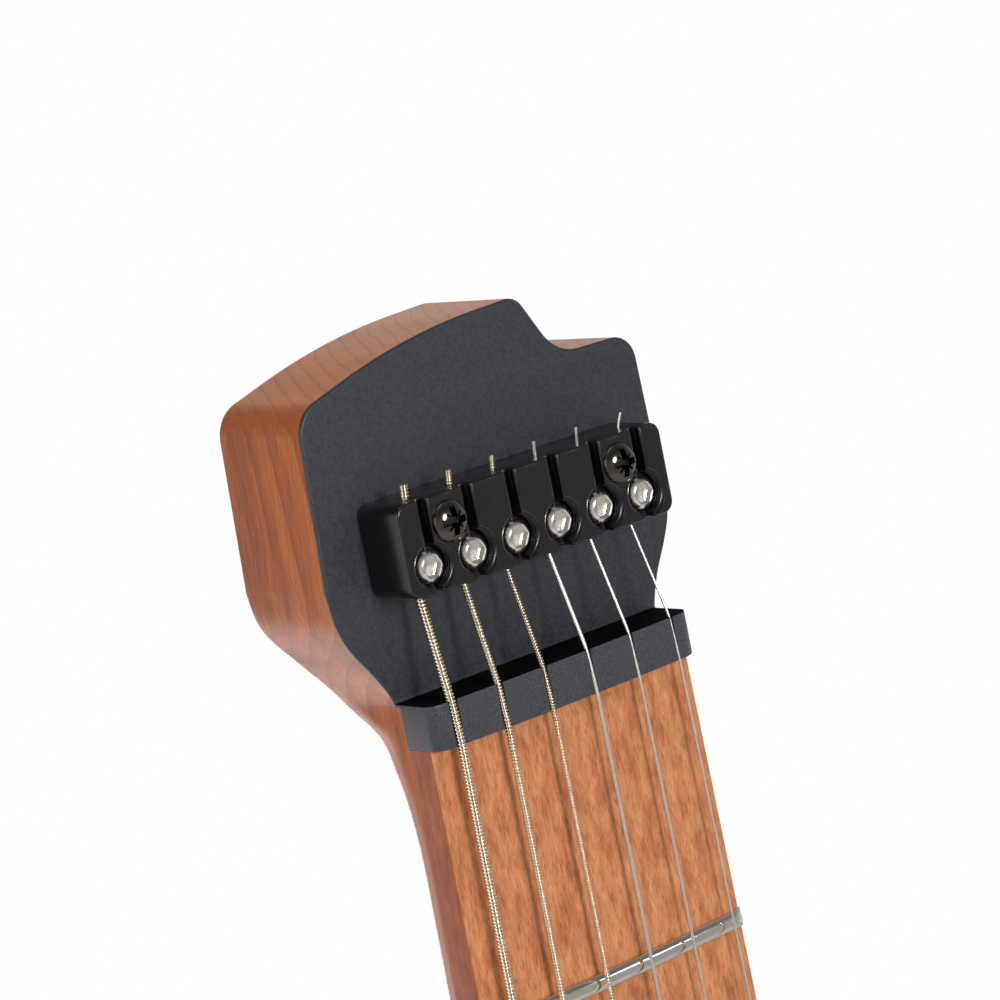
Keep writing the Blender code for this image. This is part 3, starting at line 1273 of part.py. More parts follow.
def make_pickups(parent):
    """Two humbuckers, each with a pair of steel blades."""
    across = PICKUP_WIDTH / 2
    along = PICKUP_LENGTH / 2
    corners = [(-across, -along), (-across, along), (across, along), (across, -along)]
    outline = rounded([(*corner, PICKUP_CORNER) for corner in corners], steps=3)
    for name, distance in pickup_places().items():
        place = (0, behind(pickup_top()), down(distance))
        mesh = plate(name, outline, 0, PICKUP_HEIGHT)
        soften(mesh, on_plane(1, 0), 0.8 * MM, 2)
        made = piece(name, mesh, BLACK_PLASTIC, place, parent)
        blades = []
        for side in (-1, 1):
            low = Vector((-BLADE_LENGTH / 2, -BLADE_RISE, (side * BLADE_SPACING - BLADE_WIDTH) / 2))
            blade = block("blade", low, low + Vector((BLADE_LENGTH, BLADE_RISE + OVER, BLADE_WIDTH)))
            blades.append(cutter("blade", blade, place, parent))
        combine(made, blades, "UNION")


def make_dial(name, x, z, parent):
    """Scalloped dial with its shaft, and the pot whose bush comes through the top under it."""
    shaft = TOP_THICKNESS + DIAL_LIFT + 3 * MM
    profile = [
        (0, DIAL_HEIGHT), (DIAL_RADIUS * 0.78, DIAL_HEIGHT), (DIAL_RADIUS * 0.9, DIAL_HEIGHT - MM),
        (DIAL_RADIUS, MM), (DIAL_RADIUS - 0.6 * MM, 0), (SHAFT_RADIUS, 0), (SHAFT_RADIUS, -shaft), (0, -shaft),
    ]
    sides = DIAL_SCALLOPS * 2
    mesh = fluted(turned(f"{name}_knob", profile, "-Y", sides), "y", DIAL_RADIUS * 0.85, SCALLOP_DEPTH, sides)
    piece(f"{name}_knob", mesh, BLACK_METAL, (x, FACE - DIAL_LIFT, z), parent)

    bore = SHAFT_RADIUS + RUN
    seat = -GAP
    nose = TOP_THICKNESS - GAP
    floor = seat - POT_HEIGHT
    pot = [
        (bore, nose), (BUSH_RADIUS, nose), (BUSH_RADIUS, seat), (POT_RADIUS, seat), (POT_RADIUS, floor),
        (0, floor), (0, floor + 2 * MM), (bore, floor + 2 * MM), (bore, nose),
    ]
    piece(f"{name}_pot", turned(f"{name}_pot", pot, "-Y", 16), NICKEL, (x, TOP_BACK, z), parent)


def make_switch(parent):
    """Lever switch: its frame under the top, and the lever that tilts on an axle in it."""
    x, z = drawn(*SWITCH_PLACE)
    pivot = Vector((x, TOP_BACK + PIVOT_DEPTH, z))
    half = SWITCH_WIDTH / 2
    low = (-half, GAP - PIVOT_DEPTH, -SWITCH_LENGTH / 2)
    high = (half, SWITCH_HEIGHT - PIVOT_DEPTH, SWITCH_LENGTH / 2)
    frame = piece("selector_switch", block("selector_switch", low, high, 0.5 * MM), NICKEL, pivot, parent)
    slot_half = LEVER_THICKNESS / 2 + RUN
    room = LEVER_WIDTH / 2 + RUN + MM
    travel = lever_swing(PIVOT_DEPTH)
    hole_half = half - AXLE_WALL
    cuts = [
        block("lever_pocket", (-slot_half, -PIVOT_DEPTH - OVER, -travel), (slot_half, room, travel)),
        rod("axle_hole", AXLE_RADIUS + RUN, (-hole_half, 0, 0), (hole_half, 0, 0), 12),
    ]
    combine(frame, [cutter(data.name, data, pivot, parent) for data in cuts])

    top = -(PIVOT_DEPTH + TOP_THICKNESS + LEVER_RISE)
    side = LEVER_THICKNESS / 2
    edge = LEVER_WIDTH / 2
    arm = block("selector_lever", (-side, top + TIP_OVERLAP, -edge), (side, edge, edge))
    lever = piece("selector_lever", arm, BLACK_PLASTIC, pivot, parent)
    axle_half = hole_half - 0.5 * MM
    axle = rod("axle", AXLE_RADIUS, (-axle_half, 0, 0), (axle_half, 0, 0), 10)
    tip = turned("tip", [
        (0, TIP_LENGTH), (TIP_RADIUS * 0.7, TIP_LENGTH * 0.93), (TIP_RADIUS, TIP_LENGTH * 0.73),
        (TIP_RADIUS * 0.8, TIP_LENGTH * 0.22), (TIP_RADIUS * 0.75, 0), (0, 0),
    ], "-Y", 12)
    tip_place = pivot + Vector((0, top + TIP_LENGTH, 0))
    combine(lever, [cutter("axle", axle, pivot, parent), cutter("tip", tip, tip_place, parent)], "UNION")


def make_controls(parent):
    """Volume and tone dials on their pots, the lever switch, and the cover over their cavity."""
    for name, place in KNOBS.items():
        make_dial(name, *drawn(*place), parent)
    make_switch(parent)
    cover = plate("control_cover", cavity_points(COVER_LEDGE - GAP), BACK - COVER_THICKNESS, BACK)
    soften(cover, on_plane(1, BACK), 0.4 * MM, 1)
    piece("control_cover", cover, BLACK_PLASTIC, parent=parent)


def make_jack(parent):
    """Output socket in the treble side, behind its square plate."""
    place = (jack_seat() + GAP, BODY_MIDDLE, drawn(*JACK_PLACE)[1])
    half = JACK_PLATE / 2
    plate_mesh = block("jack_plate", (0, -half, -half), (JACK_PLATE_THICKNESS, half, half), 0.4 * MM)
    made = piece("jack_plate", plate_mesh, BLACK_METAL, place, parent)
    hole = rod("plate_hole", JACK_NECK + GAP, (-OVER, 0, 0), (JACK_PLATE_THICKNESS + OVER, 0, 0), 16)
    combine(made, [cutter("plate_hole", hole, place, parent)])
    face = JACK_PLATE_THICKNESS + GAP
    nose = face + JACK_NUT_HEIGHT
    floor = face - PLUG_DEPTH
    profile = [
        (PLUG_RADIUS, nose), (JACK_NUT_RADIUS, nose), (JACK_NUT_RADIUS, face), (JACK_NECK, face), (JACK_NECK, -GAP),
        (JACK_RADIUS, -GAP), (JACK_RADIUS, -JACK_LENGTH), (0, -JACK_LENGTH), (0, floor), (PLUG_RADIUS, floor),
        (PLUG_RADIUS, nose),
    ]
    piece("output_jack", turned("output_jack", profile, "X", 16), NICKEL, place, parent)


def make_fastenings(parent):
    """Neck bolts and strap buttons."""
    rim = 0.8 * MM
    shank = BACK - GAP - behind(HEEL_DEPTH - BOLT_IN_NECK)
    bolt = [
        (0, 0), (BOLT_HEAD_RADIUS - rim, 0), (BOLT_HEAD_RADIUS, -rim), (BOLT_HEAD_RADIUS, -BOLT_HEAD_HEIGHT),
        (BOLT_RADIUS, -BOLT_HEAD_HEIGHT), (BOLT_RADIUS, -shank), (0, -shank),
    ]
    for number, (x, z) in enumerate(bolt_places(), 1):
        place = (x, BACK - GAP, z)
        name = f"neck_bolt_{number}"
        made = piece(name, turned(name, bolt, "Y", 12), BLACK_METAL, place, parent)
        drive = rod("drive", BOLT_DRIVE, (0, MM, 0), (0, -BOLT_DRIVE_DEPTH, 0), 6)
        combine(made, [cutter("drive", drive, place, parent)])
    waist = BUTTON_RADIUS * 0.5
    button = [
        (0, BUTTON_HEIGHT), (BUTTON_RADIUS - MM, BUTTON_HEIGHT), (BUTTON_RADIUS, BUTTON_HEIGHT - 1.2 * MM),
        (BUTTON_RADIUS, BUTTON_HEIGHT - 3 * MM), (waist, BUTTON_HEIGHT - 6 * MM), (waist, 3 * MM),
        (BUTTON_RADIUS * 0.8, GAP), (BUTTON_SCREW_RADIUS, GAP), (BUTTON_SCREW_RADIUS, -BUTTON_SCREW_LENGTH),
        (0, -BUTTON_SCREW_LENGTH),
    ]
    for name, place, direction in strap_places():
        axis = "Z" if direction > 0 else "-Z"
        piece(name, turned(name, button, axis, 16), BLACK_METAL, place, parent)


frame = empty("guitar_frame", (0, 0, 0))
make_neck(frame)
make_board(frame)
make_head_face(frame)
make_nut(frame)
make_truss_rod(frame)
make_lock(frame)
make_strings(frame)
make_body(frame)
make_bridge(frame)
make_pickups(frame)
make_controls(frame)
make_jack(frame)
make_fastenings(frame)
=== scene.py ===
import json
import math

import bmesh
import bpy
import numpy as np
from mathutils import Matrix, Vector


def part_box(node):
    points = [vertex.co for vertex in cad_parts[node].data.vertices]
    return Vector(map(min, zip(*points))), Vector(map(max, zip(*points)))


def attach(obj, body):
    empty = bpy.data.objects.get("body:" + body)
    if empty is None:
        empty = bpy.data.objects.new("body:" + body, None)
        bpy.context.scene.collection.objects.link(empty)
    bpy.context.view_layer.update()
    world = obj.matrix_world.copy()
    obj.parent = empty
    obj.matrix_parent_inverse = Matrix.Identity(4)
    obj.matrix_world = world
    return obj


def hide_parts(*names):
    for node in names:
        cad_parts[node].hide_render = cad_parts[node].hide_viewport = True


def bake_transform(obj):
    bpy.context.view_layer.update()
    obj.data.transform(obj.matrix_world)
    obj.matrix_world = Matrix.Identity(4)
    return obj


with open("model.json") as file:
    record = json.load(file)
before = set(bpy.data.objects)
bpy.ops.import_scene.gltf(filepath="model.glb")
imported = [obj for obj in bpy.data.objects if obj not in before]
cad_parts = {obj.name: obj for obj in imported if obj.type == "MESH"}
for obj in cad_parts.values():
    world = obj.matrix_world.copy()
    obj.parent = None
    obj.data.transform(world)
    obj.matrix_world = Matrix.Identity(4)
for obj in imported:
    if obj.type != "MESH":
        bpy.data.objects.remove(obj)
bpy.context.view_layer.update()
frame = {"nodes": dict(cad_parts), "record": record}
nodes = frame["nodes"]
mm = 0.001
print("frame loaded:", len(nodes), "nodes")


# Small helpers for nodes and meshes

def toLinear(hexColour):
    parts = [int(hexColour[start:start + 2], 16) / 255 for start in (1, 3, 5)]
    return (*[part / 12.92 if part <= 0.04045 else ((part + 0.055) / 1.055) ** 2.4 for part in parts], 1)


def socket(sockets, name):
    return next(item for item in sockets if name in (item.identifier, item.name))


def addNode(tree, kind, settings=None, links=None):
    node = tree.nodes.new(kind)
    for name, value in (settings or {}).items():
        if name == "stops":
            ramp = node.color_ramp.elements
            while len(ramp) < len(value):
                ramp.new(0.5)
            for element, (place, colour) in zip(ramp, value):
                element.position = place
                element.color = toLinear(colour)
        elif hasattr(node, name):
            setattr(node, name, value)
        else:
            socket(node.inputs, name).default_value = value
    for name, source in (links or {}).items():
        tree.links.new(source, socket(node.inputs, name))
    return node


def newMaterial(name, settings):
    made = bpy.data.materials.new(name)
    made.use_nodes = True
    shader = made.node_tree.nodes["Principled BSDF"]
    for key, value in settings.items():
        shader.inputs[key].default_value = toLinear(value) if isinstance(value, str) else value
    place = addNode(made.node_tree, "ShaderNodeTexCoord").outputs["Object"]
    return made, made.node_tree, shader, place


def newPiece(name, points, faces, finish, sharp=35):
    mesh = bpy.data.meshes.new(name)
    mesh.from_pydata([tuple(point) for point in points], [], faces)
    return fromMesh(name, mesh, finish, sharp)


def fromMesh(name, mesh, finish, sharp=35):
    work = bmesh.new()
    work.from_mesh(mesh)
    bmesh.ops.remove_doubles(work, verts=work.verts, dist=0.0005 * mm)
    bmesh.ops.recalc_face_normals(work, faces=work.faces)
    work.to_mesh(mesh)
    work.free()
    mesh.materials.clear()
    mesh.materials.append(finish)
    mesh.shade_smooth()
    mesh.set_sharp_from_angle(angle=math.radians(sharp))
    made = bpy.data.objects.new(name, mesh)
    bpy.context.scene.collection.objects.link(made)
    return made


def skinRings(rings, capped=True):
    # faces between rings of equally many points, with the end rings closed
    count = len(rings[0])
    points = [point for ring in rings for point in ring]
    faces = []
    for row in range(len(rings) - 1):
        for index in range(count):
            after = (index + 1) % count
            faces.append((row * count + index, row * count + after, (row + 1) * count + after, (row + 1) * count + index))
    if capped:
        faces.append(tuple(range(count)))
        faces.append(tuple((len(rings) - 1) * count + index for index in range(count)))
    return points, faces


def turnProfile(profile, sides, axis="Z", place=(0, 0, 0)):
    # revolves (radius, height) points given from the top down
    turn = Vector({
        "Z": (0, 0, 1), "-Z": (0, 0, -1), "Y": (0, 1, 0), "-Y": (0, -1, 0), "X": (1, 0, 0), "-X": (-1, 0, 0),
    }[axis])
    turn = turn.to_track_quat("Z", "Y")
    rings = []
    for radius, height in profile:
        ring = []
        for step in range(sides):
            angle = 2 * math.pi * step / sides
            ring.append(Vector(place) + turn @ Vector((radius * math.cos(angle), radius * math.sin(angle), height)))
        rings.append(ring)
    return skinRings(rings, capped=profile[0] != profile[-1])


def roundOutline(corners, closed=True, steps=8):
    # (x, z, radius) corners turned through arcs
    points = []
    for index, (x, z, radius) in enumerate(corners):
        here = Vector((x, z))
        if radius == 0 or (not closed and index in (0, len(corners) - 1)):
            points.append(here)
            continue
        before = (Vector(corners[index - 1][:2]) - here).normalized()
        after = (Vector(corners[(index + 1) % len(corners)][:2]) - here).normalized()
        half = before.angle(after) / 2
        centre = here + (before + after).normalized() * radius / math.sin(half)
        start = here + before * radius / math.tan(half) - centre
        sweep = (math.pi - 2 * half) * (1 if before.cross(after) < 0 else -1)
        points += [centre + Matrix.Rotation(sweep * step / steps, 2) @ start for step in range(steps + 1)]
    return points


def insetOutline(outline, inset):
    # moves each point of a closed outline inwards, square to its neighbours
    area = sum(a.cross(b) for a, b in zip(outline, outline[1:] + outline[:1]))
    side = 1 if area > 0 else -1
    moved = []
    for index, point in enumerate(outline):
        along = (outline[(index + 1) % len(outline)] - outline[index - 1]).normalized()
        moved.append(point + Vector((-along.y, along.x)) * side * inset)
    return moved


def roundedSlab(outline, front, back, frontEdge, backEdge, steps=4):
    # flat piece with an outline in X and Z, its front and back edges rounded
    rings = []
    for edge, face, way in ((frontEdge, front, 1), (backEdge, back, -1)):
        rows = []
        for step in range(steps + 1):
            angle = math.pi / 2 * step / steps
            inset = insetOutline(outline, edge * (1 - math.sin(angle)))
            y = face + way * edge * (1 - math.cos(angle))
            rows.append([(point.x, y, point.y) for point in inset])
        rings += rows if way > 0 else rows[::-1]
    return skinRings(rings)


def cutAway(target, tools, operation="DIFFERENCE"):
    for tool in tools:
        step = target.modifiers.new(tool.name, "BOOLEAN")
        step.operation = operation
        step.object = tool
    graph = bpy.context.evaluated_depsgraph_get()
    mesh = bpy.data.meshes.new_from_object(target.evaluated_get(graph))
    target.modifiers.clear()
    target.data = mesh
    for tool in tools:
        bpy.data.objects.remove(tool)
    mesh.set_sharp_from_angle(angle=math.radians(35))
    return target


def applied(piece, sharp=35):
    # keeps what the piece's modifiers make of its mesh
    graph = bpy.context.evaluated_depsgraph_get()
    mesh = bpy.data.meshes.new_from_object(piece.evaluated_get(graph))
    piece.modifiers.clear()
    piece.data = mesh
    mesh.shade_smooth()
    mesh.set_sharp_from_angle(angle=math.radians(sharp))
    return piece


def eased(piece, width, steps=2, angle=30, clamp=True):
    # breaks every edge that turns more than the angle
    edges = piece.modifiers.new("edges", "BEVEL")
    edges.width = width * mm
    edges.segments = steps
    edges.limit_method = "ANGLE"
    edges.angle_limit = math.radians(angle)
    edges.use_clamp_overlap = clamp
    edges.miter_outer = "MITER_ARC"
    return applied(piece)


def settle(piece, body, slot, *replaced):
    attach(piece, body)
    if replaced:
        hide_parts(*replaced)
    return piece


# Materials, named for what the real surface is made of

roastedMapleLook = {
    # the end grain tone is lightened to stand in for light from above, and the edge orange is a painted glow where the
    # surface turns
    "dark": "#8E4A1D", "middle": "#B05D27", "light": "#C46F34", "endGrainPaintedTopLight": "#C87C42", "paintedCornerGlow": "#9C4A0C",
    "growthLine": "#A0623A", "ringShade": "#B1917C", "ringSpacing": 1.9, "pithX": 103, "pithY": -59, "fibreWidth": 0.3, "fibreLength": 9,
    "bandWidth": 3.2, "bandLength": 110, "roughness": 0.44,
}


def makeRoastedMaple():
    # roasted maple, sanded and oiled: chestnut brown with fine streaks along the grain, thin growth lines where the
    # grain ends, and a hazy sheen at a low angle; painted light: a deeper orange glow where the surface turns, and the
    # end grain lightened where it faces up
    look = roastedMapleLook
    made, tree, shader, place = newMaterial("roasted maple, oiled", {
        "Roughness": look["roughness"], "Specular IOR Level": 0.1, "Sheen Weight": 0.03, "Sheen Roughness": 0.3,
        "Coat Weight": 0.28, "Coat Roughness": 0.25,
    })
    fibreScale = (1000 / look["fibreWidth"], 1000 / look["fibreWidth"], 1000 / look["fibreLength"])
    fibreMap = addNode(tree, "ShaderNodeMapping", {"Scale": fibreScale}, {"Vector": place})
    fibres = addNode(tree, "ShaderNodeTexNoise", {
        "Scale": 1, "Detail": 4, "Roughness": 0.6,
    }, {"Vector": fibreMap.outputs["Vector"]})
    bandScale = (1000 / look["bandWidth"], 1000 / look["bandWidth"] * 0.4, 1000 / look["bandLength"])
    bandMap = addNode(tree, "ShaderNodeMapping", {"Scale": bandScale}, {"Vector": place})
    bands = addNode(tree, "ShaderNodeTexNoise", {"Scale": 1, "Detail": 3}, {"Vector": bandMap.outputs["Vector"]})
    tone = addNode(tree, "ShaderNodeMix", {"data_type": "FLOAT", "Factor_Float": 0.5}, {
        "A_Float": bands.outputs["Fac"], "B_Float": fibres.outputs["Fac"],
    })
    side = addNode(tree, "ShaderNodeValToRGB", {
        "stops": [(0.38, look["dark"]), (0.5, look["middle"]), (0.6, look["light"])],
    }, {"Fac": socket(tone.outputs, "Result_Float")})

    pith = addNode(tree, "ShaderNodeMapping", {
        "Location": (-look["pithX"], -look["pithY"], 0), "Scale": (1000, 1000, 60),
    }, {"Vector": place})
    rings = addNode(tree, "ShaderNodeTexWave", {
        "wave_type": "RINGS", "rings_direction": "Z", "wave_profile": "SAW",
        "Scale": 2 * math.pi / 20 / look["ringSpacing"], "Distortion": 2.4, "Detail": 2, "Detail Scale": 0.8,
    }, {"Vector": pith.outputs["Vector"]})
    growth = addNode(tree, "ShaderNodeValToRGB", {
        "stops": [(0.0, look["endGrainPaintedTopLight"]), (0.7, look["endGrainPaintedTopLight"]), (0.97, look["growthLine"])],
    }, {"Fac": rings.outputs["Fac"]})
    end = addNode(tree, "ShaderNodeMix", {"data_type": "RGBA", "Factor_Float": 0.45}, {
        "A_Color": growth.outputs["Color"], "B_Color": side.outputs["Color"],
    })

    ringShade = addNode(tree, "ShaderNodeValToRGB", {
        "stops": [(0.0, "#FFFFFF"), (0.45, "#F6EFE8"), (0.93, look["ringShade"]), (1.0, "#E8D8CC")],
    }, {"Fac": rings.outputs["Fac"]})
    ringed = addNode(tree, "ShaderNodeMix", {"data_type": "RGBA", "blend_type": "MULTIPLY"}, {
        "Factor_Float": bands.outputs["Fac"], "A_Color": side.outputs["Color"], "B_Color": ringShade.outputs["Color"],
    })

    facing = addNode(tree, "ShaderNodeNewGeometry")
    parts = addNode(tree, "ShaderNodeSeparateXYZ", links={"Vector": facing.outputs["Normal"]})
    # painted glow: faces that tilt partly upwards, where the surface turns from the side to the top, get a deeper
    # orange that stands in for light
    cornerGlowMask = addNode(tree, "ShaderNodeValToRGB", {
        "stops": [(0.08, "#000000"), (0.5, "#FFFFFF"), (0.8, "#FFFFFF"), (0.95, "#000000")],
    }, {"Fac": parts.outputs["Z"]})
    # faces that look upwards get the end grain with its growth lines, its tone lightened as painted light from above
    endShare = addNode(tree, "ShaderNodeMapRange", {
        "From Min": 0.5, "From Max": 0.98,
    }, {"Value": parts.outputs["Z"]})
    ended = addNode(tree, "ShaderNodeMix", {"data_type": "RGBA"}, {
        "Factor_Float": endShare.outputs["Result"], "A_Color": socket(ringed.outputs, "Result_Color"),
        "B_Color": socket(end.outputs, "Result_Color"),
    })
    cornerGlowShare = addNode(tree, "ShaderNodeMath", {"operation": "MULTIPLY", "Value_001": 0.6}, {
        "Value": cornerGlowMask.outputs["Color"],
    })
    oiled = addNode(tree, "ShaderNodeMix", {"data_type": "RGBA", "B_Color": toLinear(look["paintedCornerGlow"])}, {
        "Factor_Float": cornerGlowShare.outputs["Value"], "A_Color": socket(ended.outputs, "Result_Color"),
    })
    tree.links.new(socket(oiled.outputs, "Result_Color"), shader.inputs["Base Color"])
    bump = addNode(tree, "ShaderNodeBump", {"Strength": 0.2, "Distance": 0.03 * mm}, {"Height": fibres.outputs["Fac"]})
    tree.links.new(bump.outputs["Normal"], shader.inputs["Normal"])
    return made


boardMapleLook = {
    "dark": "#AE6538", "middle": "#C98150", "light": "#DC9862", "pore": "#A06844", "poreWidth": 0.17, "poreLength": 1.3,
    "mottleWidth": 1.3, "mottleLength": 4.5, "paintedSideShade": "#CBA283",
}


def makeBoardMaple():
    # roasted maple fingerboard, sanded fine: warm orange brown with short pores and flecks along the grain, and painted
    # shade darkening its sides
    look = boardMapleLook
    made, tree, shader, place = newMaterial("roasted maple fingerboard, sanded", {
        "Roughness": 0.5, "Sheen Weight": 0.08, "Sheen Roughness": 0.5,
    })
    poreScale = (1000 / look["poreWidth"], 1000 / look["poreWidth"], 1000 / look["poreLength"])
    pores = addNode(tree, "ShaderNodeMapping", {"Scale": poreScale}, {"Vector": place})
    flecks = addNode(tree, "ShaderNodeTexNoise", {
        "Scale": 1, "Detail": 3, "Roughness": 0.6,
    }, {"Vector": pores.outputs["Vector"]})
    mottleScale = (1000 / look["mottleWidth"], 1000 / look["mottleWidth"], 1000 / look["mottleLength"])
    mottle = addNode(tree, "ShaderNodeMapping", {"Scale": mottleScale}, {"Vector": place})
    broad = addNode(tree, "ShaderNodeTexNoise", {
        "Scale": 1, "Detail": 5, "Roughness": 0.55,
    }, {"Vector": mottle.outputs["Vector"]})
    base = addNode(tree, "ShaderNodeValToRGB", {
        "stops": [(0.3, look["dark"]), (0.48, look["middle"]), (0.68, look["light"])],
    }, {"Fac": broad.outputs["Fac"]})
    specks = addNode(tree, "ShaderNodeValToRGB", {
        "stops": [(0.3, look["pore"]), (0.44, "#F0E0D2"), (0.6, "#FFFFFF")],
    }, {"Fac": flecks.outputs["Fac"]})
    mixed = addNode(tree, "ShaderNodeMix", {
        "data_type": "RGBA", "blend_type": "MULTIPLY", "Factor_Float": 0.75,
    }, {"A_Color": base.outputs["Color"], "B_Color": specks.outputs["Color"]})
    # painted shade: faces that look across, the board's sides, are darkened by the side tone
    facing = addNode(tree, "ShaderNodeNewGeometry")
    parts = addNode(tree, "ShaderNodeSeparateXYZ", links={"Vector": facing.outputs["Normal"]})
    across = addNode(tree, "ShaderNodeMath", {"operation": "ABSOLUTE"}, {"Value": parts.outputs["X"]})
    sideShadeShare = addNode(tree, "ShaderNodeMapRange", {"From Min": 0.7, "From Max": 0.95}, {"Value": across.outputs["Value"]})
    sideShaded = addNode(tree, "ShaderNodeMix", {
        "data_type": "RGBA", "blend_type": "MULTIPLY", "B_Color": toLinear(look["paintedSideShade"]),
    }, {"Factor_Float": sideShadeShare.outputs["Result"], "A_Color": socket(mixed.outputs, "Result_Color")})
    tree.links.new(socket(sideShaded.outputs, "Result_Color"), shader.inputs["Base Color"])
    bump = addNode(tree, "ShaderNodeBump", {"Strength": 0.3, "Distance": 0.03 * mm}, {"Height": flecks.outputs["Fac"]})
    tree.links.new(bump.outputs["Normal"], shader.inputs["Normal"])
    return made


def makeGrained(name, settings, dark, light, grain, bumpHeight=0.02):
    # a finish with fine grain: its colour wavers between two tones and its surface is barely uneven
    made, tree, shader, place = newMaterial(name, settings)
    scaled = addNode(tree, "ShaderNodeMapping", {"Scale": (1000 / grain, 1000 / grain, 1000 / grain)}, {"Vector": place})
    speckle = addNode(tree, "ShaderNodeTexNoise", {"Scale": 1, "Detail": 3}, {"Vector": scaled.outputs["Vector"]})
    colour = addNode(tree, "ShaderNodeValToRGB", {"stops": [(0.35, dark), (0.65, light)]}, {"Fac": speckle.outputs["Fac"]})
    tree.links.new(colour.outputs["Color"], shader.inputs["Base Color"])
    rough = settings["Roughness"]
    worn = addNode(tree, "ShaderNodeMapRange", {"To Min": rough * 0.9, "To Max": rough * 1.1}, {"Value": speckle.outputs["Fac"]})
    tree.links.new(worn.outputs["Result"], shader.inputs["Roughness"])
    bump = addNode(tree, "ShaderNodeBump", {"Strength": 0.5, "Distance": bumpHeight * mm}, {"Height": speckle.outputs["Fac"]})
    tree.links.new(bump.outputs["Normal"], shader.inputs["Normal"])
    return made


bodyWoodLook = {
    "dark": "#6E4126", "middle": "#875435", "light": "#9A6644", "pore": "#6A4630", "poreWidth": 0.25, "poreLength": 3.2,
    "bandWidth": 6, "bandLength": 140,
}


def makeBodyWood():
    # mahogany, oiled: even reddish brown with short dark pores and wide soft bands along the grain
    look = bodyWoodLook
    made, tree, shader, place = newMaterial("mahogany, oiled", {
        "Roughness": 0.5, "Sheen Weight": 0.1, "Sheen Roughness": 0.4,
    })
    poreScale = (1000 / look["poreWidth"], 1000 / look["poreWidth"], 1000 / look["poreLength"])
    poreMap = addNode(tree, "ShaderNodeMapping", {"Scale": poreScale}, {"Vector": place})
    pores = addNode(tree, "ShaderNodeTexNoise", {"Scale": 1, "Detail": 2}, {"Vector": poreMap.outputs["Vector"]})
    bandScale = (1000 / look["bandWidth"], 1000 / look["bandWidth"], 1000 / look["bandLength"])
    bandMap = addNode(tree, "ShaderNodeMapping", {"Scale": bandScale}, {"Vector": place})
    bands = addNode(tree, "ShaderNodeTexNoise", {"Scale": 1, "Detail": 6, "Roughness": 0.6}, {"Vector": bandMap.outputs["Vector"]})
    base = addNode(tree, "ShaderNodeValToRGB", {
        "stops": [(0.33, look["dark"]), (0.5, look["middle"]), (0.67, look["light"])],
    }, {"Fac": bands.outputs["Fac"]})
    specks = addNode(tree, "ShaderNodeValToRGB", {
        "stops": [(0.3, look["pore"]), (0.42, "#F4EAE2"), (0.6, "#FFFFFF")],
    }, {"Fac": pores.outputs["Fac"]})
    mixed = addNode(tree, "ShaderNodeMix", {
        "data_type": "RGBA", "blend_type": "MULTIPLY", "Factor_Float": 0.8,
    }, {"A_Color": base.outputs["Color"], "B_Color": specks.outputs["Color"]})
    tree.links.new(socket(mixed.outputs, "Result_Color"), shader.inputs["Base Color"])
    bump = addNode(tree, "ShaderNodeBump", {"Strength": 0.4, "Distance": 0.04 * mm}, {"Height": pores.outputs["Fac"]})
    tree.links.new(bump.outputs["Normal"], shader.inputs["Normal"])
    return made


roastedMaple = makeRoastedMaple()
boardMaple = makeBoardMaple()
bodyWood = makeBodyWood()
# brushed aluminium, lacquered: pale grey with a soft sheen
dotAluminium = makeGrained("aluminium, brushed", {"Roughness": 0.35, "Metallic": 1.0}, "#C6C7C8", "#D6D7D8", 0.3, 0.003)
# turned brass: warm yellow
ballBrass = makeGrained("brass, turned", {"Roughness": 0.25, "Metallic": 1.0}, "#B08D4A", "#C09C58", 0.4, 0.003)
# sprayed dark grey lacquer, satin: an even charcoal with a fine orange peel
charcoalPaint = makeGrained("charcoal polyurethane, sprayed satin", {"Roughness": 0.42}, "#26272C", "#33353A", 0.4)
# black nickel on a domed screw: a dark mirror
blackNickel = makeGrained("steel, black nickel plated", {"Roughness": 0.13, "Metallic": 1.0}, "#55524E", "#605D58", 0.3, 0.003)
# black anodised aluminium, blasted first: deep black with thin light lines along its edges
anodisedBlack = makeGrained("aluminium, anodised black", {"Roughness": 0.22}, "#0B0B0D", "#111114", 0.15, 0.008)
# black oxide on polished steel: shiny, nearly black, with a slight brown cast
blackSteel = makeGrained("steel, black oxide", {"Roughness": 0.14, "Metallic": 0.85}, "#2C2B2A", "#373534", 0.3, 0.004)
# polished nickel plate: bright and slightly warm
brightNickel = makeGrained("steel, nickel plated", {"Roughness": 0.27, "Metallic": 1.0}, "#E2DFD7", "#EDEAE3", 0.5, 0.003)
# moulded resin filled with graphite: dark grey with fine light specks
graphite = makeGrained("graphite filled resin, moulded", {"Roughness": 0.42, "Specular IOR Level": 0.25}, "#343539", "#515156", 0.16, 0.02)
# painted shade: a dull black with hardly any reflection, for the thin piece behind the nut that stands in for the
# shadow on its back wall
paintedShadeBlack = makeGrained("dull black, painted shade behind the nut", {"Roughness": 0.9, "Specular IOR Level": 0.05}, "#070708", "#0C0C0E", 0.2, 0.01)
# moulded ABS, black: soft gloss
blackAbs = makeGrained("ABS, moulded black", {"Roughness": 0.34}, "#0E0E10", "#141416", 0.3)
# crowned and polished nickel silver: dark and bright stripes
nickelSilver = makeGrained("nickel silver, polished", {"Roughness": 0.08, "Metallic": 1.0}, "#D6D3CD", "#DEDBD5", 2.5, 0.0005)
# tinned music wire: plain grey steel
plainSteel = makeGrained("music wire, tinned", {"Roughness": 0.32, "Metallic": 1.0}, "#D2CFC9", "#DEDBD5", 0.4, 0.002)
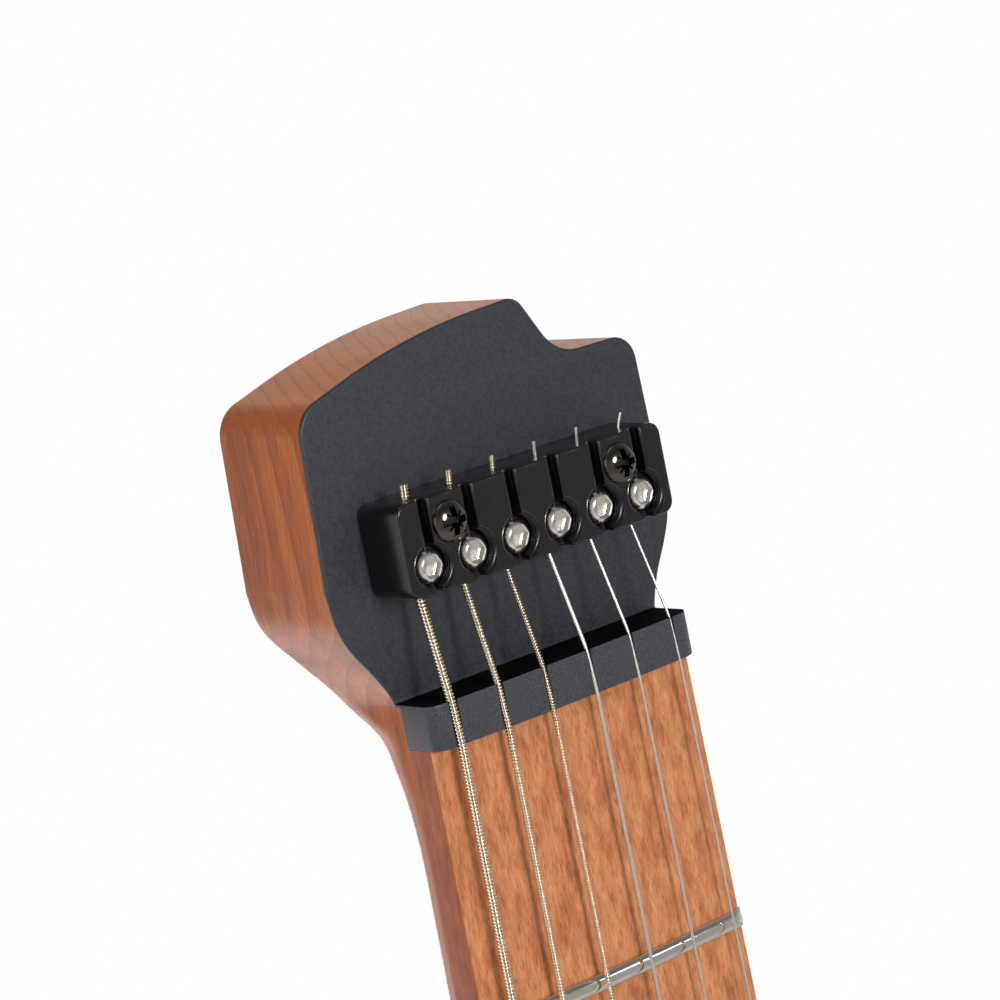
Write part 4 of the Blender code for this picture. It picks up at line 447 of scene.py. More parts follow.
# nickel plated winding: warm and bright on each turn
woundNickel = makeGrained("steel winding, nickel plated", {"Roughness": 0.13, "Metallic": 1.0}, "#E3D3BA", "#EFE4CF", 0.4, 0.002)
print("materials made")


# Places in the luthier's terms: mm across, behind the board's face and below the nut's front face

nutLow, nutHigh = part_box("nut")
lockLow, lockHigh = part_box("string_lock_bar")
boardLow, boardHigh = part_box("fingerboard")
faceLow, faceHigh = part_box("head_face")
fretSize = {"width": 2.5, "height": 1.1, "count": 24, "sides": 14, "endBevel": 0.9}
boardSize = {"widthNut": 43.3, "widthEnd": 57.004, "thickness": 5, "crownRadius": 400, "edgeRound": 0.5, "pastLastFret": 7}
boardFaceY = boardLow.y + fretSize["height"] * mm


def spot(x, depth, distance):
    return Vector((x * mm, boardFaceY + depth * mm, nutLow.z - distance * mm))


def crownFall(x):
    return boardSize["crownRadius"] - math.sqrt(boardSize["crownRadius"] ** 2 - x * x)


def fretPlace(number):
    return 648 * (1 - 2 ** (-number / 12))


boardEnd = fretPlace(fretSize["count"]) + boardSize["pastLastFret"]


def halfBoard(distance):
    return (boardSize["widthNut"] + (boardSize["widthEnd"] - boardSize["widthNut"]) * distance / boardEnd) / 2


# Neck, flare and head as one skin of sections

neckShape = {
    # distance above the nut, bass edge, treble edge, depth, squareness of the section's back
    "flare": [
        (-60.0, -21.9, 21.9, 18.3, 1.8), (-25.0, -21.7, 21.7, 18.2, 1.8), (-12.0, -21.65, 21.65, 17.95, 1.87),
        (-4.0, -21.65, 21.65, 18.1, 2.35), (2.0, -21.65, 21.75, 20.5, 3.2), (6.0, -21.7, 22.3, 22.3, 7.0),
        (10.0, -23.8, 23.8, 23.2, 12.0), (14.0, -26.5, 26.1, 23.6, 20.0), (17.3, -27.8, 27.5, 23.9, 45.0),
        (22.0, -28.4, 27.6, 23.9, 80.0),
    ],
    # head outline over the tip: x, height above the nut, corner radius
    "head": [
        (-28.4, 22.0, 0), (-27.3, 44.1, 4.6), (-8.5, 49.8, 90), (9.4, 50.6, 2.7), (14.4, 41.8, 6.5),
        (27.1, 41.7, 3.4), (27.6, 22.0, 0),
    ],
    "boardSeat": 5.0, "headSeat": 6.3, "headStep": 5.5, "headDepth": 23.9, "backEdge": 0.9, "frontEdge": 0.2,
    "depthNut": 18.2, "depthHeel": 20, "squareness": 1.8, "heelDepth": 26, "heelLength": 58, "heelBlend": 34,
    "heelSquareness": 16, "halfSteps": 24,
}


def smoothStations(stations, place):
    # smooth curve through rows whose first number rises
    last = len(stations) - 1
    index = max(i for i in range(last) if stations[i][0] <= place or i == 0)
    low, high = stations[index], stations[index + 1]
    share = min(max((place - low[0]) / (high[0] - low[0]), 0), 1)
    before, after = stations[max(index - 1, 0)], stations[min(index + 2, last)]
    span = high[0] - low[0]
    s2, s3 = share ** 2, share ** 3
    result = []
    for k in range(1, len(low)):
        slopeLow = (high[k] - before[k]) / (high[0] - before[0]) * span
        slopeHigh = (after[k] - low[k]) / (after[0] - low[0]) * span
        result.append((2 * s3 - 3 * s2 + 1) * low[k] + (s3 - 2 * s2 + share) * slopeLow
                      + (3 * s2 - 2 * s3) * high[k] + (s3 - s2) * slopeHigh)
    return result


def sectionTurns():
    steps = neckShape["halfSteps"] - 1
    return [math.pi / 2 * (step + 0.5) / steps for step in range(steps)]


def neckSection(distance, left, right, depth, squareness, seat):
    # points at even turns of the surface's direction, so that round and square sections match at their corners
    middle, half, back = (left + right) / 2, (right - left) / 2, depth - seat
    power = 2 / squareness
    quarter = [(1.0, 0.0)]
    for turn in sectionTurns():
        angle = math.atan((back / half * math.tan(turn)) ** (1 / (2 - power)))
        quarter.append((math.cos(angle) ** power, math.sin(angle) ** power))
    ring = [spot(middle - half * across, seat + back * deep, distance) for across, deep in quarter]
    return ring + [spot(middle + half * across, seat + back * deep, distance) for across, deep in reversed(quarter)]


def makeNeck():
    shape = neckShape
    heelTop = boardEnd - shape["heelLength"]
    blendEnd = heelTop - shape["heelBlend"]
    rings = []
    for distance in (boardEnd, heelTop + 1.5):
        wide = halfBoard(distance)
        rings.append(neckSection(distance, -wide, wide, shape["heelDepth"], shape["heelSquareness"], shape["boardSeat"]))
    for step in range(1, 25):
        share = step / 24
        ease = share * share * (3 - 2 * share)
        distance = heelTop - shape["heelBlend"] * share
        depth = shape["heelDepth"] + (shape["depthHeel"] - shape["heelDepth"]) * ease
        square = math.exp(math.log(shape["heelSquareness"]) * (1 - ease) + math.log(shape["squareness"]) * ease)
        wide = halfBoard(distance)
        rings.append(neckSection(distance, -wide, wide, depth, square, shape["boardSeat"]))
    run = blendEnd - 30
    for step in range(1, 41):
        distance = blendEnd - run * step / 40
        depth = shape["depthNut"] + (shape["depthHeel"] - shape["depthNut"]) * distance / blendEnd
        wide = halfBoard(distance)
        rings.append(neckSection(distance, -wide, wide, depth, shape["squareness"], shape["boardSeat"]))
    heights = [-29 + 0.75 * step for step in range(46)]
    heights += [5.45, 5.55] + [6.0 + 0.4 * step for step in range(40)]
    for height in heights:
        left, right, depth, square = smoothStations(shape["flare"], height)
        if height < 0:
            left, right = min(-halfBoard(-height), left), max(halfBoard(-height), right)
        share = min(max((height - 1) / 4.4, 0), 1)
        seat = shape["boardSeat"] + (shape["headSeat"] - shape["boardSeat"]) * share * share * (3 - 2 * share)
        ring = neckSection(-height, left, right, depth, square, seat)
        top = shape["boardSeat"] if height < shape["headStep"] else shape["headSeat"]
        ring[0].y = ring[-1].y = spot(0, top, 0).y
        rings.append(ring)
    points, faces = skinRings(rings)
    faces.pop()  # the head goes on from the last section

    rim = roundOutline(shape["head"], closed=False, steps=14)
    half = shape["halfSteps"]
    centre = shape["headDepth"] - shape["backEdge"]
    wall = [(0, shape["headSeat"])]
    for turn in sectionTurns():
        wall.append((shape["backEdge"] * (1 - math.cos(turn)), centre + shape["backEdge"] * math.sin(turn)))
    columns = []
    for index, point in enumerate(rim):
        along = (rim[min(index + 1, len(rim) - 1)] - rim[max(index - 1, 0)]).normalized()
        inward = Vector((along.y, -along.x))
        if index in (0, len(rim) - 1):
            inward = Vector((1 if index == 0 else -1, 0))
        columns.append([spot((point + inward * inset).x, depth, -(point + inward * inset).y) for inset, depth in wall])
    start = len(points)
    for column in columns:
        points += column
    last = start - 2 * half
    firstRow = list(range(start, start + half))
    lastRow = list(range(start + (len(columns) - 1) * half, start + len(columns) * half))
    joined = firstRow + lastRow[::-1]
    for index in range(2 * half):
        after = (index + 1) % (2 * half)
        faces.append((last + index, last + after, joined[after], joined[index]))
    for column in range(len(columns) - 1):
        base = start + column * half
        for index in range(half - 1):
            faces.append((base + index, base + index + 1, base + half + index + 1, base + half + index))
    faces.append(tuple(start + column * half for column in range(len(columns))))
    faces.append(tuple(start + column * half + half - 1 for column in range(len(columns))))
    neck = newPiece("neckSkin", points, faces, roastedMaple, 30)
    return settle(neck, "guitar", "roasted_maple", "neck")


makeNeck()
print("neck made")


# Fingerboard and its frets

def makeBoard():
    rings = []
    across = 40
    edge = boardSize["edgeRound"]
    distances = [boardEnd * step / 60 for step in range(61)]
    for distance in distances:
        wide = halfBoard(distance)
        ring = []
        for step in range(across + 1):
            x = (2 * step / across - 1) * (wide - edge)
            ring.append(spot(x, crownFall(x), distance))
        for step in range(1, 6):
            angle = math.pi / 2 * step / 5
            ring.append(spot(wide - edge + edge * math.sin(angle), crownFall(wide) + edge * (1 - math.cos(angle)), distance))
        ring.append(spot(wide, boardSize["thickness"], distance))
        ring.append(spot(-wide, boardSize["thickness"], distance))
        for step in range(5, 0, -1):
            angle = math.pi / 2 * step / 5
            ring.append(spot(-wide + edge - edge * math.sin(angle), crownFall(wide) + edge * (1 - math.cos(angle)), distance))
        rings.append(ring)
    points, faces = skinRings(rings)
    board = newPiece("fingerboardWood", points, faces, boardMaple, 40)
    return settle(board, "guitar", "roasted_maple", "fingerboard")


def makeFret(number):
    place = fretPlace(number)
    wide = halfBoard(place)
    rings = []
    stations = 24
    bevel = fretSize["endBevel"]
    for step in range(stations + 1):
        share = 2 * step / stations - 1
        x = math.copysign(1 - (1 - abs(share)) ** 1.35, share) * wide
        rise = min(1, 0.12 + (wide - abs(x)) / bevel)
        rise = math.sin(rise * math.pi / 2)
        ring = []
        for turn in range(fretSize["sides"] + 1):
            angle = math.pi * turn / fretSize["sides"]
            along = fretSize["width"] / 2 * math.cos(angle)
            up = fretSize["height"] * rise * math.sin(angle) ** 0.75
            ring.append(spot(x, crownFall(x) - up, place + along))
        ring.append(spot(x, crownFall(x) + 0.3, place - fretSize["width"] * 0.5))
        ring.append(spot(x, crownFall(x) + 0.3, place + fretSize["width"] * 0.5))
        rings.append(ring)
    points, faces = skinRings(rings)
    fret = newPiece(f"fret{number}", points, faces, nickelSilver, 50)
    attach(fret, "guitar")
    return fret


makeBoard()
for number in range(1, fretSize["count"] + 1):
    makeFret(number)
print("fingerboard made")


# Dark face of the head

def makeHeadFace():
    low = neckShape["headStep"] + 0.06
    heights = [low] + [low + 0.5 + 0.5 * step for step in range(31)]
    left = [Vector((smoothStations(neckShape["flare"], height)[0], height)) for height in heights]
    right = [Vector((smoothStations(neckShape["flare"], height)[1], height)) for height in reversed(heights)]
    outline = left + roundOutline(neckShape["head"], closed=False, steps=14) + right
    outline = [Vector((point.x * mm, nutLow.z + point.y * mm)) for point in outline]
    points, faces = roundedSlab(outline, faceLow.y, faceHigh.y, 0.32 * mm, 0.02 * mm, 6)
    face = newPiece("headFace", points, faces, charcoalPaint, 40)
    return settle(face, "guitar", "charcoal_satin", "head_face")


makeHeadFace()


# Strings: routes, gauges and windings

stringSet = {
    "radius": [0.62, 0.48, 0.36, 0.26, 0.21, 0.17], "intonation": [3.6, 2.8, 2.0, 2.4, 1.4, 0.7],
    "pitch": [0.46, 0.42, 0.38], "nutSpread": 36.8, "bridgeSpread": 52.5, "nutLift": 2, "action": 2.9, "end": 2.2,
    "ballRadius": 1.9, "ballLength": 3, "scale": 648, "bodyDrop": 9.6, "pullHeight": 8.3, "carriageFront": 38,
    "pocketFromFront": 3, "ballPocket": 4.6, "nutBreak": 0.107, "endLean": [0, 0.1, 0.1, 0.05, 0.2, 0.9], "plainSides": 16, "woundSides": 12,
}
lockShape = {
    "pitch": 7.03, "bottom": 19.3, "height": 11.9, "length": 43.4, "thickness": 8, "corner": 1.6, "groove": 1.4,
    "grooveDepth": 2, "faceDepth": 5.8, "gap": 0.3, "stringLow": 3.7, "stringHigh": 5, "clampAbove": 22.65,
    "clampRadius": 2.12, "clampHeight": 1.45, "seatRadius": 2.9, "seatDepth": 1.85, "fixingAbove": 27.5,
    "fixingRadius": 2.65, "fixingHeight": 1.7, "fixingSeat": 0.6, "fixingPitches": 2, "edge": 0.32,
}


def stringShare(index):
    return index / 5 - 0.5


def stringX(index, distance):
    spread = stringSet["nutSpread"] + (stringSet["bridgeSpread"] - stringSet["nutSpread"]) * distance / stringSet["scale"]
    return stringShare(index) * spread


def stringDepth(index, distance):
    lift = stringSet["nutLift"] + (stringSet["action"] - stringSet["nutLift"]) * distance / (stringSet["scale"] / 2)
    return crownFall(stringX(index, distance)) - lift


def lockStringDepth(height):
    share = (height - lockShape["bottom"]) / lockShape["height"]
    rise = lockShape["stringLow"] + (lockShape["stringHigh"] - lockShape["stringLow"]) * share
    return lockShape["faceDepth"] - rise


def stringRoute(index):
    lockX = stringShare(index) * lockShape["pitch"] * 5
    top = lockShape["bottom"] + lockShape["height"] + stringSet["end"]
    entry = lockShape["bottom"] - lockShape["gap"]
    nutDepth = stringDepth(index, 0)
    nutWidth = (nutHigh.z - nutLow.z) / mm
    slope = (lockShape["faceDepth"] - lockShape["stringLow"] - nutDepth) * stringSet["nutBreak"]
    saddle = stringSet["scale"] + stringSet["intonation"][index]
    bridgeX = stringX(index, stringSet["scale"])
    pocket = stringSet["scale"] + stringSet["carriageFront"] + stringSet["pocketFromFront"] + stringSet["ballPocket"] / 2
    ballDepth = stringSet["bodyDrop"] - stringSet["pullHeight"]
    return [
        spot(lockX + stringSet["endLean"][index], lockStringDepth(top), -top),
        spot(lockX, lockStringDepth(top - stringSet["end"]), stringSet["end"] - top),
        spot(lockX, lockStringDepth(entry), -entry),
        spot(stringX(index, 0), nutDepth + slope, -nutWidth), spot(stringX(index, 0), nutDepth, 0),
        spot(bridgeX, stringDepth(index, saddle), saddle),
        spot(bridgeX, ballDepth, pocket - stringSet["ballLength"] / 2),
    ]


def alongRoute(route, bend=1.2 * mm, step=0.3 * mm):
    # dense points of a route whose corners bend smoothly
    lengths = [(b - a).length for a, b in zip(route, route[1:])]
    starts = np.concatenate([[0], np.cumsum(lengths)])
    marks = sorted({0.0, starts[-1], *[
        min(max(corner + offset * step, 0), starts[-1]) for corner in starts[1:-1] for offset in range(-6, 7)
    ]})
    marks = np.array(marks)
    table = np.array(route)

    def at(s):
        return np.array([np.interp(s, starts, table[:, axis]) for axis in range(3)]).T
    reach = np.linspace(-bend, bend, 9)
    return marks, np.mean([at(np.clip(marks + shift, 0, starts[-1])) for shift in reach], axis=0)


def makeString(index):
    radius = stringSet["radius"][index] * mm
    marks, line = alongRoute(stringRoute(index))
    length = marks[-1]
    wound = index < len(stringSet["pitch"])
    if wound:
        sides = stringSet["woundSides"]
        pitch = stringSet["pitch"][index] * mm
        perTurn = 4
        core = radius - pitch * 0.42
        profile = [core, core + (radius - core) * 0.8, radius, core + (radius - core) * 0.8]
        rows = math.ceil((length + pitch) / pitch * perTurn)
        turn = np.arange(sides)
        along = np.arange(rows + 1)[:, None] * pitch / perTurn + turn[None, :] * pitch / sides - pitch
        size = np.array(profile)[np.arange(rows + 1) % perTurn][:, None] * np.ones((1, sides))
        size = np.where((along <= 0) | (along >= length), core, size)
        along = np.clip(along, 0, length)
    else:
        sides = stringSet["plainSides"]
        rows = len(marks) - 1
        turn = np.arange(sides)
        along = marks[:, None] * np.ones((1, sides))
        size = np.full((rows + 1, sides), radius)
        perTurn = 0
    centre = np.stack([np.interp(along, marks, line[:, axis]) for axis in range(3)], axis=-1)
    angle = 2 * math.pi * turn / sides
    offset = np.stack([np.cos(angle), np.sin(angle), np.zeros(sides)], axis=-1)
    points = (centre + size[..., None] * offset[None]).reshape(-1, 3)
    faces = []
    for row in range(rows):
        for side in range(sides):
            after = side + 1
            shift = 0
            if after == sides:
                after = 0
                shift = perTurn
            if row + 1 + shift > rows:
                continue
            a, b = row * sides + side, (row + shift) * sides + after
            faces.append((a, b, b + sides, a + sides))
    faces.append(tuple(range(sides)))
    faces.append(tuple(rows * sides + side for side in range(sides)))
    string = newPiece(f"string{index + 1}", points, faces, woundNickel if wound else plainSteel, 60)
    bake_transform(string)
    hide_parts(f"string_{index + 1}")
    return string


for index in range(6):
    makeString(index)
print("strings made")


# Nut: crowned top, rounded ends, a slot for each string, and behind it a thin black piece that paints the shade on the
# nut's back wall

def slotTools():
    tools = []
    for index, radius in enumerate(stringSet["radius"]):
        route = stringRoute(index)
        far, near = route[3], route[4]
        way = (far - near).normalized()
        reach = (radius + 0.06) * mm
        rings = []
        for place in (near - way * 2 * mm, far + way * 2 * mm):
            ring = []
            for step in range(13):
                angle = math.pi * step / 12
                ring.append(place + Vector((reach * math.cos(angle), reach * math.sin(angle), 0)))
            ring += [place + Vector((-reach * 1.25, -3 * mm, 0)), place + Vector((reach * 1.25, -3 * mm, 0))]
            rings.append(ring)
        points, faces = skinRings(rings)
        tools.append(newPiece(f"slotTool{index}", points, faces, graphite))
    return tools


def makeNut():
    halfLength = (nutHigh.x - nutLow.x) / 2 / mm
    width = (nutHigh.z - nutLow.z) / mm
    above = 1.95
    corner = 1.6
    outline = []
    across = 60
    for step in range(across + 1):
        x = (2 * step / across - 1) * (halfLength - corner)
        outline.append((x, crownFall(x) - above))
    rightTop = crownFall(halfLength) - above
    for step in range(1, 9):
        angle = math.pi / 2 * step / 8
        outline.append((halfLength - corner + corner * math.sin(angle), rightTop + corner * (1 - math.cos(angle))))
    outline += [(halfLength, neckShape["boardSeat"]), (-halfLength, neckShape["boardSeat"])]
    for step in range(8, 0, -1):
        angle = math.pi / 2 * step / 8
        outline.append((-halfLength + corner - corner * math.sin(angle), rightTop + corner * (1 - math.cos(angle))))
    rings = []
    edge = 0.25
    step = neckShape["headStep"]
    foot, low = neckShape["boardSeat"], lockShape["faceDepth"] - 0.02
    for distance, inset, bottom in (
        (0, edge, foot), (edge * 0.3, edge * 0.3, foot), (edge, 0, foot), (step, 0, foot), (step + 0.02, 0, low),
        (width - edge * 0.6, 0, low), (width - edge * 0.2, edge * 0.2, low), (width, edge * 0.6, low),
    ):
        rings.append([
            spot(x * (1 - inset / halfLength), bottom if y == foot else y + inset, -distance) for x, y in outline
        ])
    points, faces = skinRings(rings)
    nut = newPiece("nutBlock", points, faces, graphite, 40)
    cutAway(nut, slotTools())
    settle(nut, "guitar", "graphite_composite", "nut")
    # painted shade: a thin black piece against the nut's back wall, where that wall lies in shadow
    wallTools = slotTools()
    inner = [(x * 0.999, min(y + 0.03, low)) for x, y in outline]
    rings = [[spot(x, low if y >= foot else y, -distance) for x, y in inner] for distance in (width - 0.3, width + 0.01)]
    points, faces = skinRings(rings)
    wall = newPiece("nutBackShade", points, faces, paintedShadeBlack, 40)
    cutAway(wall, wallTools)
    return settle(wall, "guitar", "black_plastic")


makeNut()


# String lock: grooved bar, clamping screws and fixing screws

def makeLock():
    shape = lockShape
    low, high = lockLow.z, lockHigh.z
    half = (lockHigh.x - lockLow.x) / 2
    corner = shape["corner"] * mm
    outline = roundOutline([(-half, low, corner), (-half, high, corner), (half, high, corner), (half, low, corner)], steps=8)
    back = spot(0, shape["faceDepth"], 0).y
    points, faces = skinRings([[(point.x, y, point.y) for point in outline] for y in (lockLow.y, back)])
    bar = newPiece("lockBar", points, faces, anodisedBlack, 40)
    grooves = []
    for index in range(6):
        x = stringShare(index) * shape["pitch"] * 5 * mm
        half, deep = shape["groove"] / 2 * mm, lockLow.y + shape["grooveDepth"] * mm
        rings = [[(x - half, lockLow.y - mm, z), (x - half, deep, z), (x + half, deep, z), (x + half, lockLow.y - mm, z)]
                 for z in (low - mm, high + mm)]
        points, faces = skinRings(rings)
        grooves.append(newPiece(f"grooveTool{index}", points, faces, anodisedBlack))
    eased(cutAway(bar, grooves), shape["edge"], 4, 30)
    tools = []
    for index in range(6):
        x = stringShare(index) * shape["pitch"] * 5 * mm
        seat = shape["seatRadius"] * mm
        profile = [(seat + 0.62 * mm, 0.2 * mm), (seat + 0.3 * mm, -0.03 * mm), (seat + 0.1 * mm, -0.13 * mm), (seat, -0.3 * mm)]
        for ring in range(3):
            middle = -(0.55 + 0.46 * ring) * mm
            for step in range(7):
                angle = math.pi * step / 6
                profile.append((seat - 0.2 * mm * math.sin(angle), middle + 0.2 * mm * math.cos(angle)))
        profile.append((seat, -shape["seatDepth"] * mm))
        points, faces = turnProfile(profile, 40, "-Y", (x, lockLow.y, spot(0, 0, -shape["clampAbove"]).z))
        tools.append(newPiece(f"seatTool{index}", points, faces, anodisedBlack))
        entry, leaving = stringRoute(index)[2], stringRoute(index)[1]
        way = (leaving - entry).normalized()
        start = entry - way * mm
        reach = (stringSet["radius"][index] + 0.15) * mm
        rings = [[place + Vector((reach * math.cos(t * math.pi / 8), reach * math.sin(t * math.pi / 8), 0)) for t in range(16)]
                 for place in (start, leaving + way * mm * 1.5)]
        points, faces = skinRings(rings)
        tools.append(newPiece(f"stringTool{index}", points, faces, anodisedBlack))
    cutAway(bar, tools)
    return settle(bar, "guitar", "black_anodised", "string_lock_bar")


def makeScrew(name, radius, height, shank, shankRadius, place, finish, drive):
    profile = [(0, height)]
    for step in range(1, 11):
        angle = math.pi / 2 * step / 10
        profile.append((radius * math.sin(angle) ** 0.9, height * (0.2 + 0.8 * math.cos(angle))))
    profile += [(radius, 0.06 * mm), (radius - 0.06 * mm, 0), (shankRadius, 0), (shankRadius, -shank), (0, -shank)]
    profile = [(max(r, 0.00001 * mm), h) for r, h in profile]
    points, faces = turnProfile(profile, 48, "-Y", place)
    screw = newPiece(name, points, faces, finish, 40)
    deep = height * 0.85
    tools = []
    if drive == "hex":
        rings = []
        for y, scale in ((-height - mm, 1.12), (-height + 0.32 * mm, 1.12), (-height + 0.42 * mm, 1), (-height + deep, 0.97),
                         (-height + deep + 0.26 * mm, 0.02)):
            reach = radius * 0.7 * scale
            rings.append([Vector(place) + Vector((reach * math.cos(math.pi / 3 * k), y, reach * math.sin(math.pi / 3 * k)))
                          for k in range(6)])
        points, faces = skinRings(rings)
        tools.append(newPiece(name + "Tool", points, faces, finish))
    else:
        arm, slim, notch = radius * 0.76, radius * 0.18, radius * 0.46
        cross = []
        for quarter in range(4):
            turn = Matrix.Rotation(math.pi / 2 * quarter, 2)
            cross += [tuple(turn @ Vector(point)) for point in (
                (arm, -slim), (arm, slim), (slim * 1.5, slim), (notch, notch - slim * 0.4), (notch - slim * 0.4, notch),
                (slim, slim * 1.5))]
        rings = []
        for y, scale in ((-height - mm, 1.15), (-height + deep, 0.7)):
            rings.append([Vector(place) + Vector((x * scale, y, z * scale)) for x, z in cross])
        points, faces = skinRings(rings)
        tools.append(newPiece(name + "Tool", points, faces, finish))
    cutAway(screw, tools).data.set_sharp_from_angle(angle=math.radians(12))
    return screw


makeLock()
for index in range(6):
    name = f"clamp_screw_{index + 1}"
    low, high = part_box(name)
    place = ((low.x + high.x) / 2, low.y + lockShape["clampHeight"] * mm, (low.z + high.z) / 2)
    screw = makeScrew(f"clampScrew{index + 1}", lockShape["clampRadius"] * mm, lockShape["clampHeight"] * mm,
                      high.y - place[1], 1.4 * mm, place, brightNickel, "hex")
    settle(screw, name, "nickel", name)
for number in (1, 2):
    name = f"lock_mount_screw_{number}"
    low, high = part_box(name)
    place = ((low.x + high.x) / 2, low.y + lockShape["fixingHeight"] * mm, (low.z + high.z) / 2)
    screw = makeScrew(f"lockMountScrew{number}", lockShape["fixingRadius"] * mm, lockShape["fixingHeight"] * mm,
                      high.y - place[1], 1.5 * mm, place, blackNickel, "cross")
    settle(screw, "guitar", "black_steel", name)
print("string lock made")


# Tools for the milled and turned pieces

def blockPiece(name, low, high, finish):
    # box between two places, each given as (right of centre, depth, distance) in mm
    a, b = spot(*low), spot(*high)
    rings = [[(x, y, z) for x, y in ((a.x, a.y), (b.x, a.y), (b.x, b.y), (a.x, b.y))] for z in (a.z, b.z)]
    points, faces = skinRings(rings)
    return newPiece(name, points, faces, finish)


def rodPiece(name, radius, start, end, finish, sides=32):
    # cylinder between two places in mm
    a, b = spot(*start), spot(*end)
    turn = (b - a).to_track_quat("Z", "Y")
    ring = [turn @ Vector((radius * mm * math.cos(t), radius * mm * math.sin(t), 0))
            for t in (2 * math.pi * step / sides for step in range(sides))]
    points, faces = skinRings([[a + point for point in ring], [b + point for point in ring]])
    return newPiece(name, points, faces, finish)


def turnedPiece(name, profile, axis, place, finish, sides=48, sharp=35):
    # revolves (radius, height) points in mm, given from the outer end inwards, about an axis through a place
    profile = [(max(radius, 0.00001) * mm, height * mm) for radius, height in profile]
    points, faces = turnProfile(profile, sides, axis, place)
    return newPiece(name, points, faces, finish, sharp)


def flatPlaces(places):
    return [Vector((x * mm, nutLow.z - distance * mm)) for x, distance in places]


def slabPiece(name, outline, front, back, finish, frontEdge=0.0, backEdge=0.0, steps=4, sharp=35):
    # flat piece between two depths in mm, cut to an outline
    points, faces = roundedSlab(
        outline, spot(0, front, 0).y, spot(0, back, 0).y, max(frontEdge, 0.01) * mm, max(backEdge, 0.01) * mm, steps)
    return newPiece(name, points, faces, finish, sharp)


def crossTool(name, place, arm, slim, depth, finish, axis="-Y"):
    # tapered cross for a screw's recess, sunk into the face that looks along the axis
    aim = Vector({"-Y": (0, -1, 0), "Y": (0, 1, 0), "X": (1, 0, 0), "Z": (0, 0, 1), "-Z": (0, 0, -1)}[axis])
    turn = aim.to_track_quat("Z", "Y")
    cross = [(arm, slim), (slim, slim), (slim, arm), (-slim, arm), (-slim, slim), (-arm, slim), (-arm, -slim),
             (-slim, -slim), (-slim, -arm), (slim, -arm), (slim, -slim), (arm, -slim)]
    rings = [[Vector(place) + turn @ Vector((x * share * mm, y * share * mm, height * mm)) for x, y in cross]
             for height, share in ((1, 1.2), (-depth, 0.6))]
    points, faces = skinRings(rings)
    return newPiece(name, points, faces, finish)


def hexTool(name, place, reach, depth, finish, axis="-Y"):
    aim = Vector({"-Y": (0, -1, 0), "Y": (0, 1, 0), "X": (1, 0, 0), "Z": (0, 0, 1), "-Z": (0, 0, -1)}[axis])
    turn = aim.to_track_quat("Z", "Y")
    rings = [[Vector(place) + turn @ Vector((reach * mm * math.cos(math.pi / 3 * k), reach * mm * math.sin(math.pi / 3 * k),
                                             height * mm)) for k in range(6)] for height in (1, -depth)]
    points, faces = skinRings(rings)
    return newPiece(name, points, faces, finish)


def domedHead(radius, height):
    # outline of a pan head, from its crown to its rim
    crown = [(0, height)]
    for step in range(1, 9):
        angle = math.pi / 2 * step / 8
        crown.append((radius * math.sin(angle) ** 0.85, height * (0.25 + 0.75 * math.cos(angle))))
    return crown + [(radius, 0.05), (radius - 0.05, 0), (0, 0)]


def smallScrew(name, place, radius, height, axis="-Y", finish=None):
    screw = turnedPiece(name, domedHead(radius, height), axis, place, finish or blackSteel, 32)
    tool = crossTool(name + "Drive", place + outward(axis) * height * mm, radius * 0.6, radius * 0.14, height * 0.7,
                     blackSteel, axis)
    return cutAway(screw, [tool])


def outward(axis):
    return Vector({"-Y": (0, -1, 0), "Y": (0, 1, 0), "X": (1, 0, 0), "Z": (0, 0, 1), "-Z": (0, 0, -1)}[axis])


# Body and its dark top, with contours, pocket and cavities

bodyShape = {
    # right of centre and below the nut in mm, clockwise from the bass side of the neck joint
    "outline": [
        (-33, 440), (-43, 410), (-68, 374), (-98, 342), (-122, 334), (-138, 352), (-140, 392), (-128, 440),
        (-118, 486), (-126, 540), (-148, 596), (-160, 650), (-150, 704), (-118, 738), (-84, 742), (-62, 730),
        (-46, 724), (46, 724), (62, 730), (84, 742), (118, 736), (148, 704), (158, 660), (150, 610),
        (130, 560), (116, 510), (120, 466), (130, 424), (124, 392), (104, 394), (76, 418), (52, 436), (33, 445),
    ],
    "steps": 10, "face": 9.6, "topBack": 15.6, "back": 50.6, "seam": 0.03, "backRound": 6, "topRound": 1.5,
    "forearmLine": [(-112, 548), (-92, 742)], "forearmDepth": 13, "forearmWidth": 58,
    "bellyPlace": (-62, 536), "bellyDepth": 14, "bellyWidth": 56, "bellyRadius": 200,
    "pocketHalf": 28.8, "pocketFloor": 26.3, "pocketLength": 88, "recessHalf": 8.1, "recessFloor": 17.65,
    "cavity": [(66, 566), (122, 560), (136, 600), (138, 664), (118, 694), (70, 690), (60, 640)],
    "cavityCorner": 9, "ledge": 4.5, "cover": 2.4,
}
pickupShape = {
    "width": 69, "length": 37, "margin": 1, "corner": 3, "cavityCorner": 4, "height": 19, "room": 2, "edge": 0.9,
    "places": {"neck_pickup": boardEnd + 12 + 18.5, "bridge_pickup": 607}, "bladeLength": 59, "bladeWidth": 2.4,
    "bladeRise": 0.8, "bladeSpacing": 18, "screwX": 32, "screwRadius": 1.35,
}
controlShape = {
    "volume": (82, 622), "tone": (104, 662), "bush": 4.9, "switch": (104, 592), "slotHalfWidth": 1.4,
    "slotHalfLength": 7.34, "dialRadius": 9, "dialHeight": 15, "dialLift": 0.8, "flutes": 36, "fluteDepth": 0.3,
    "shaftRadius": 3, "shaftLength": 9.8,
}
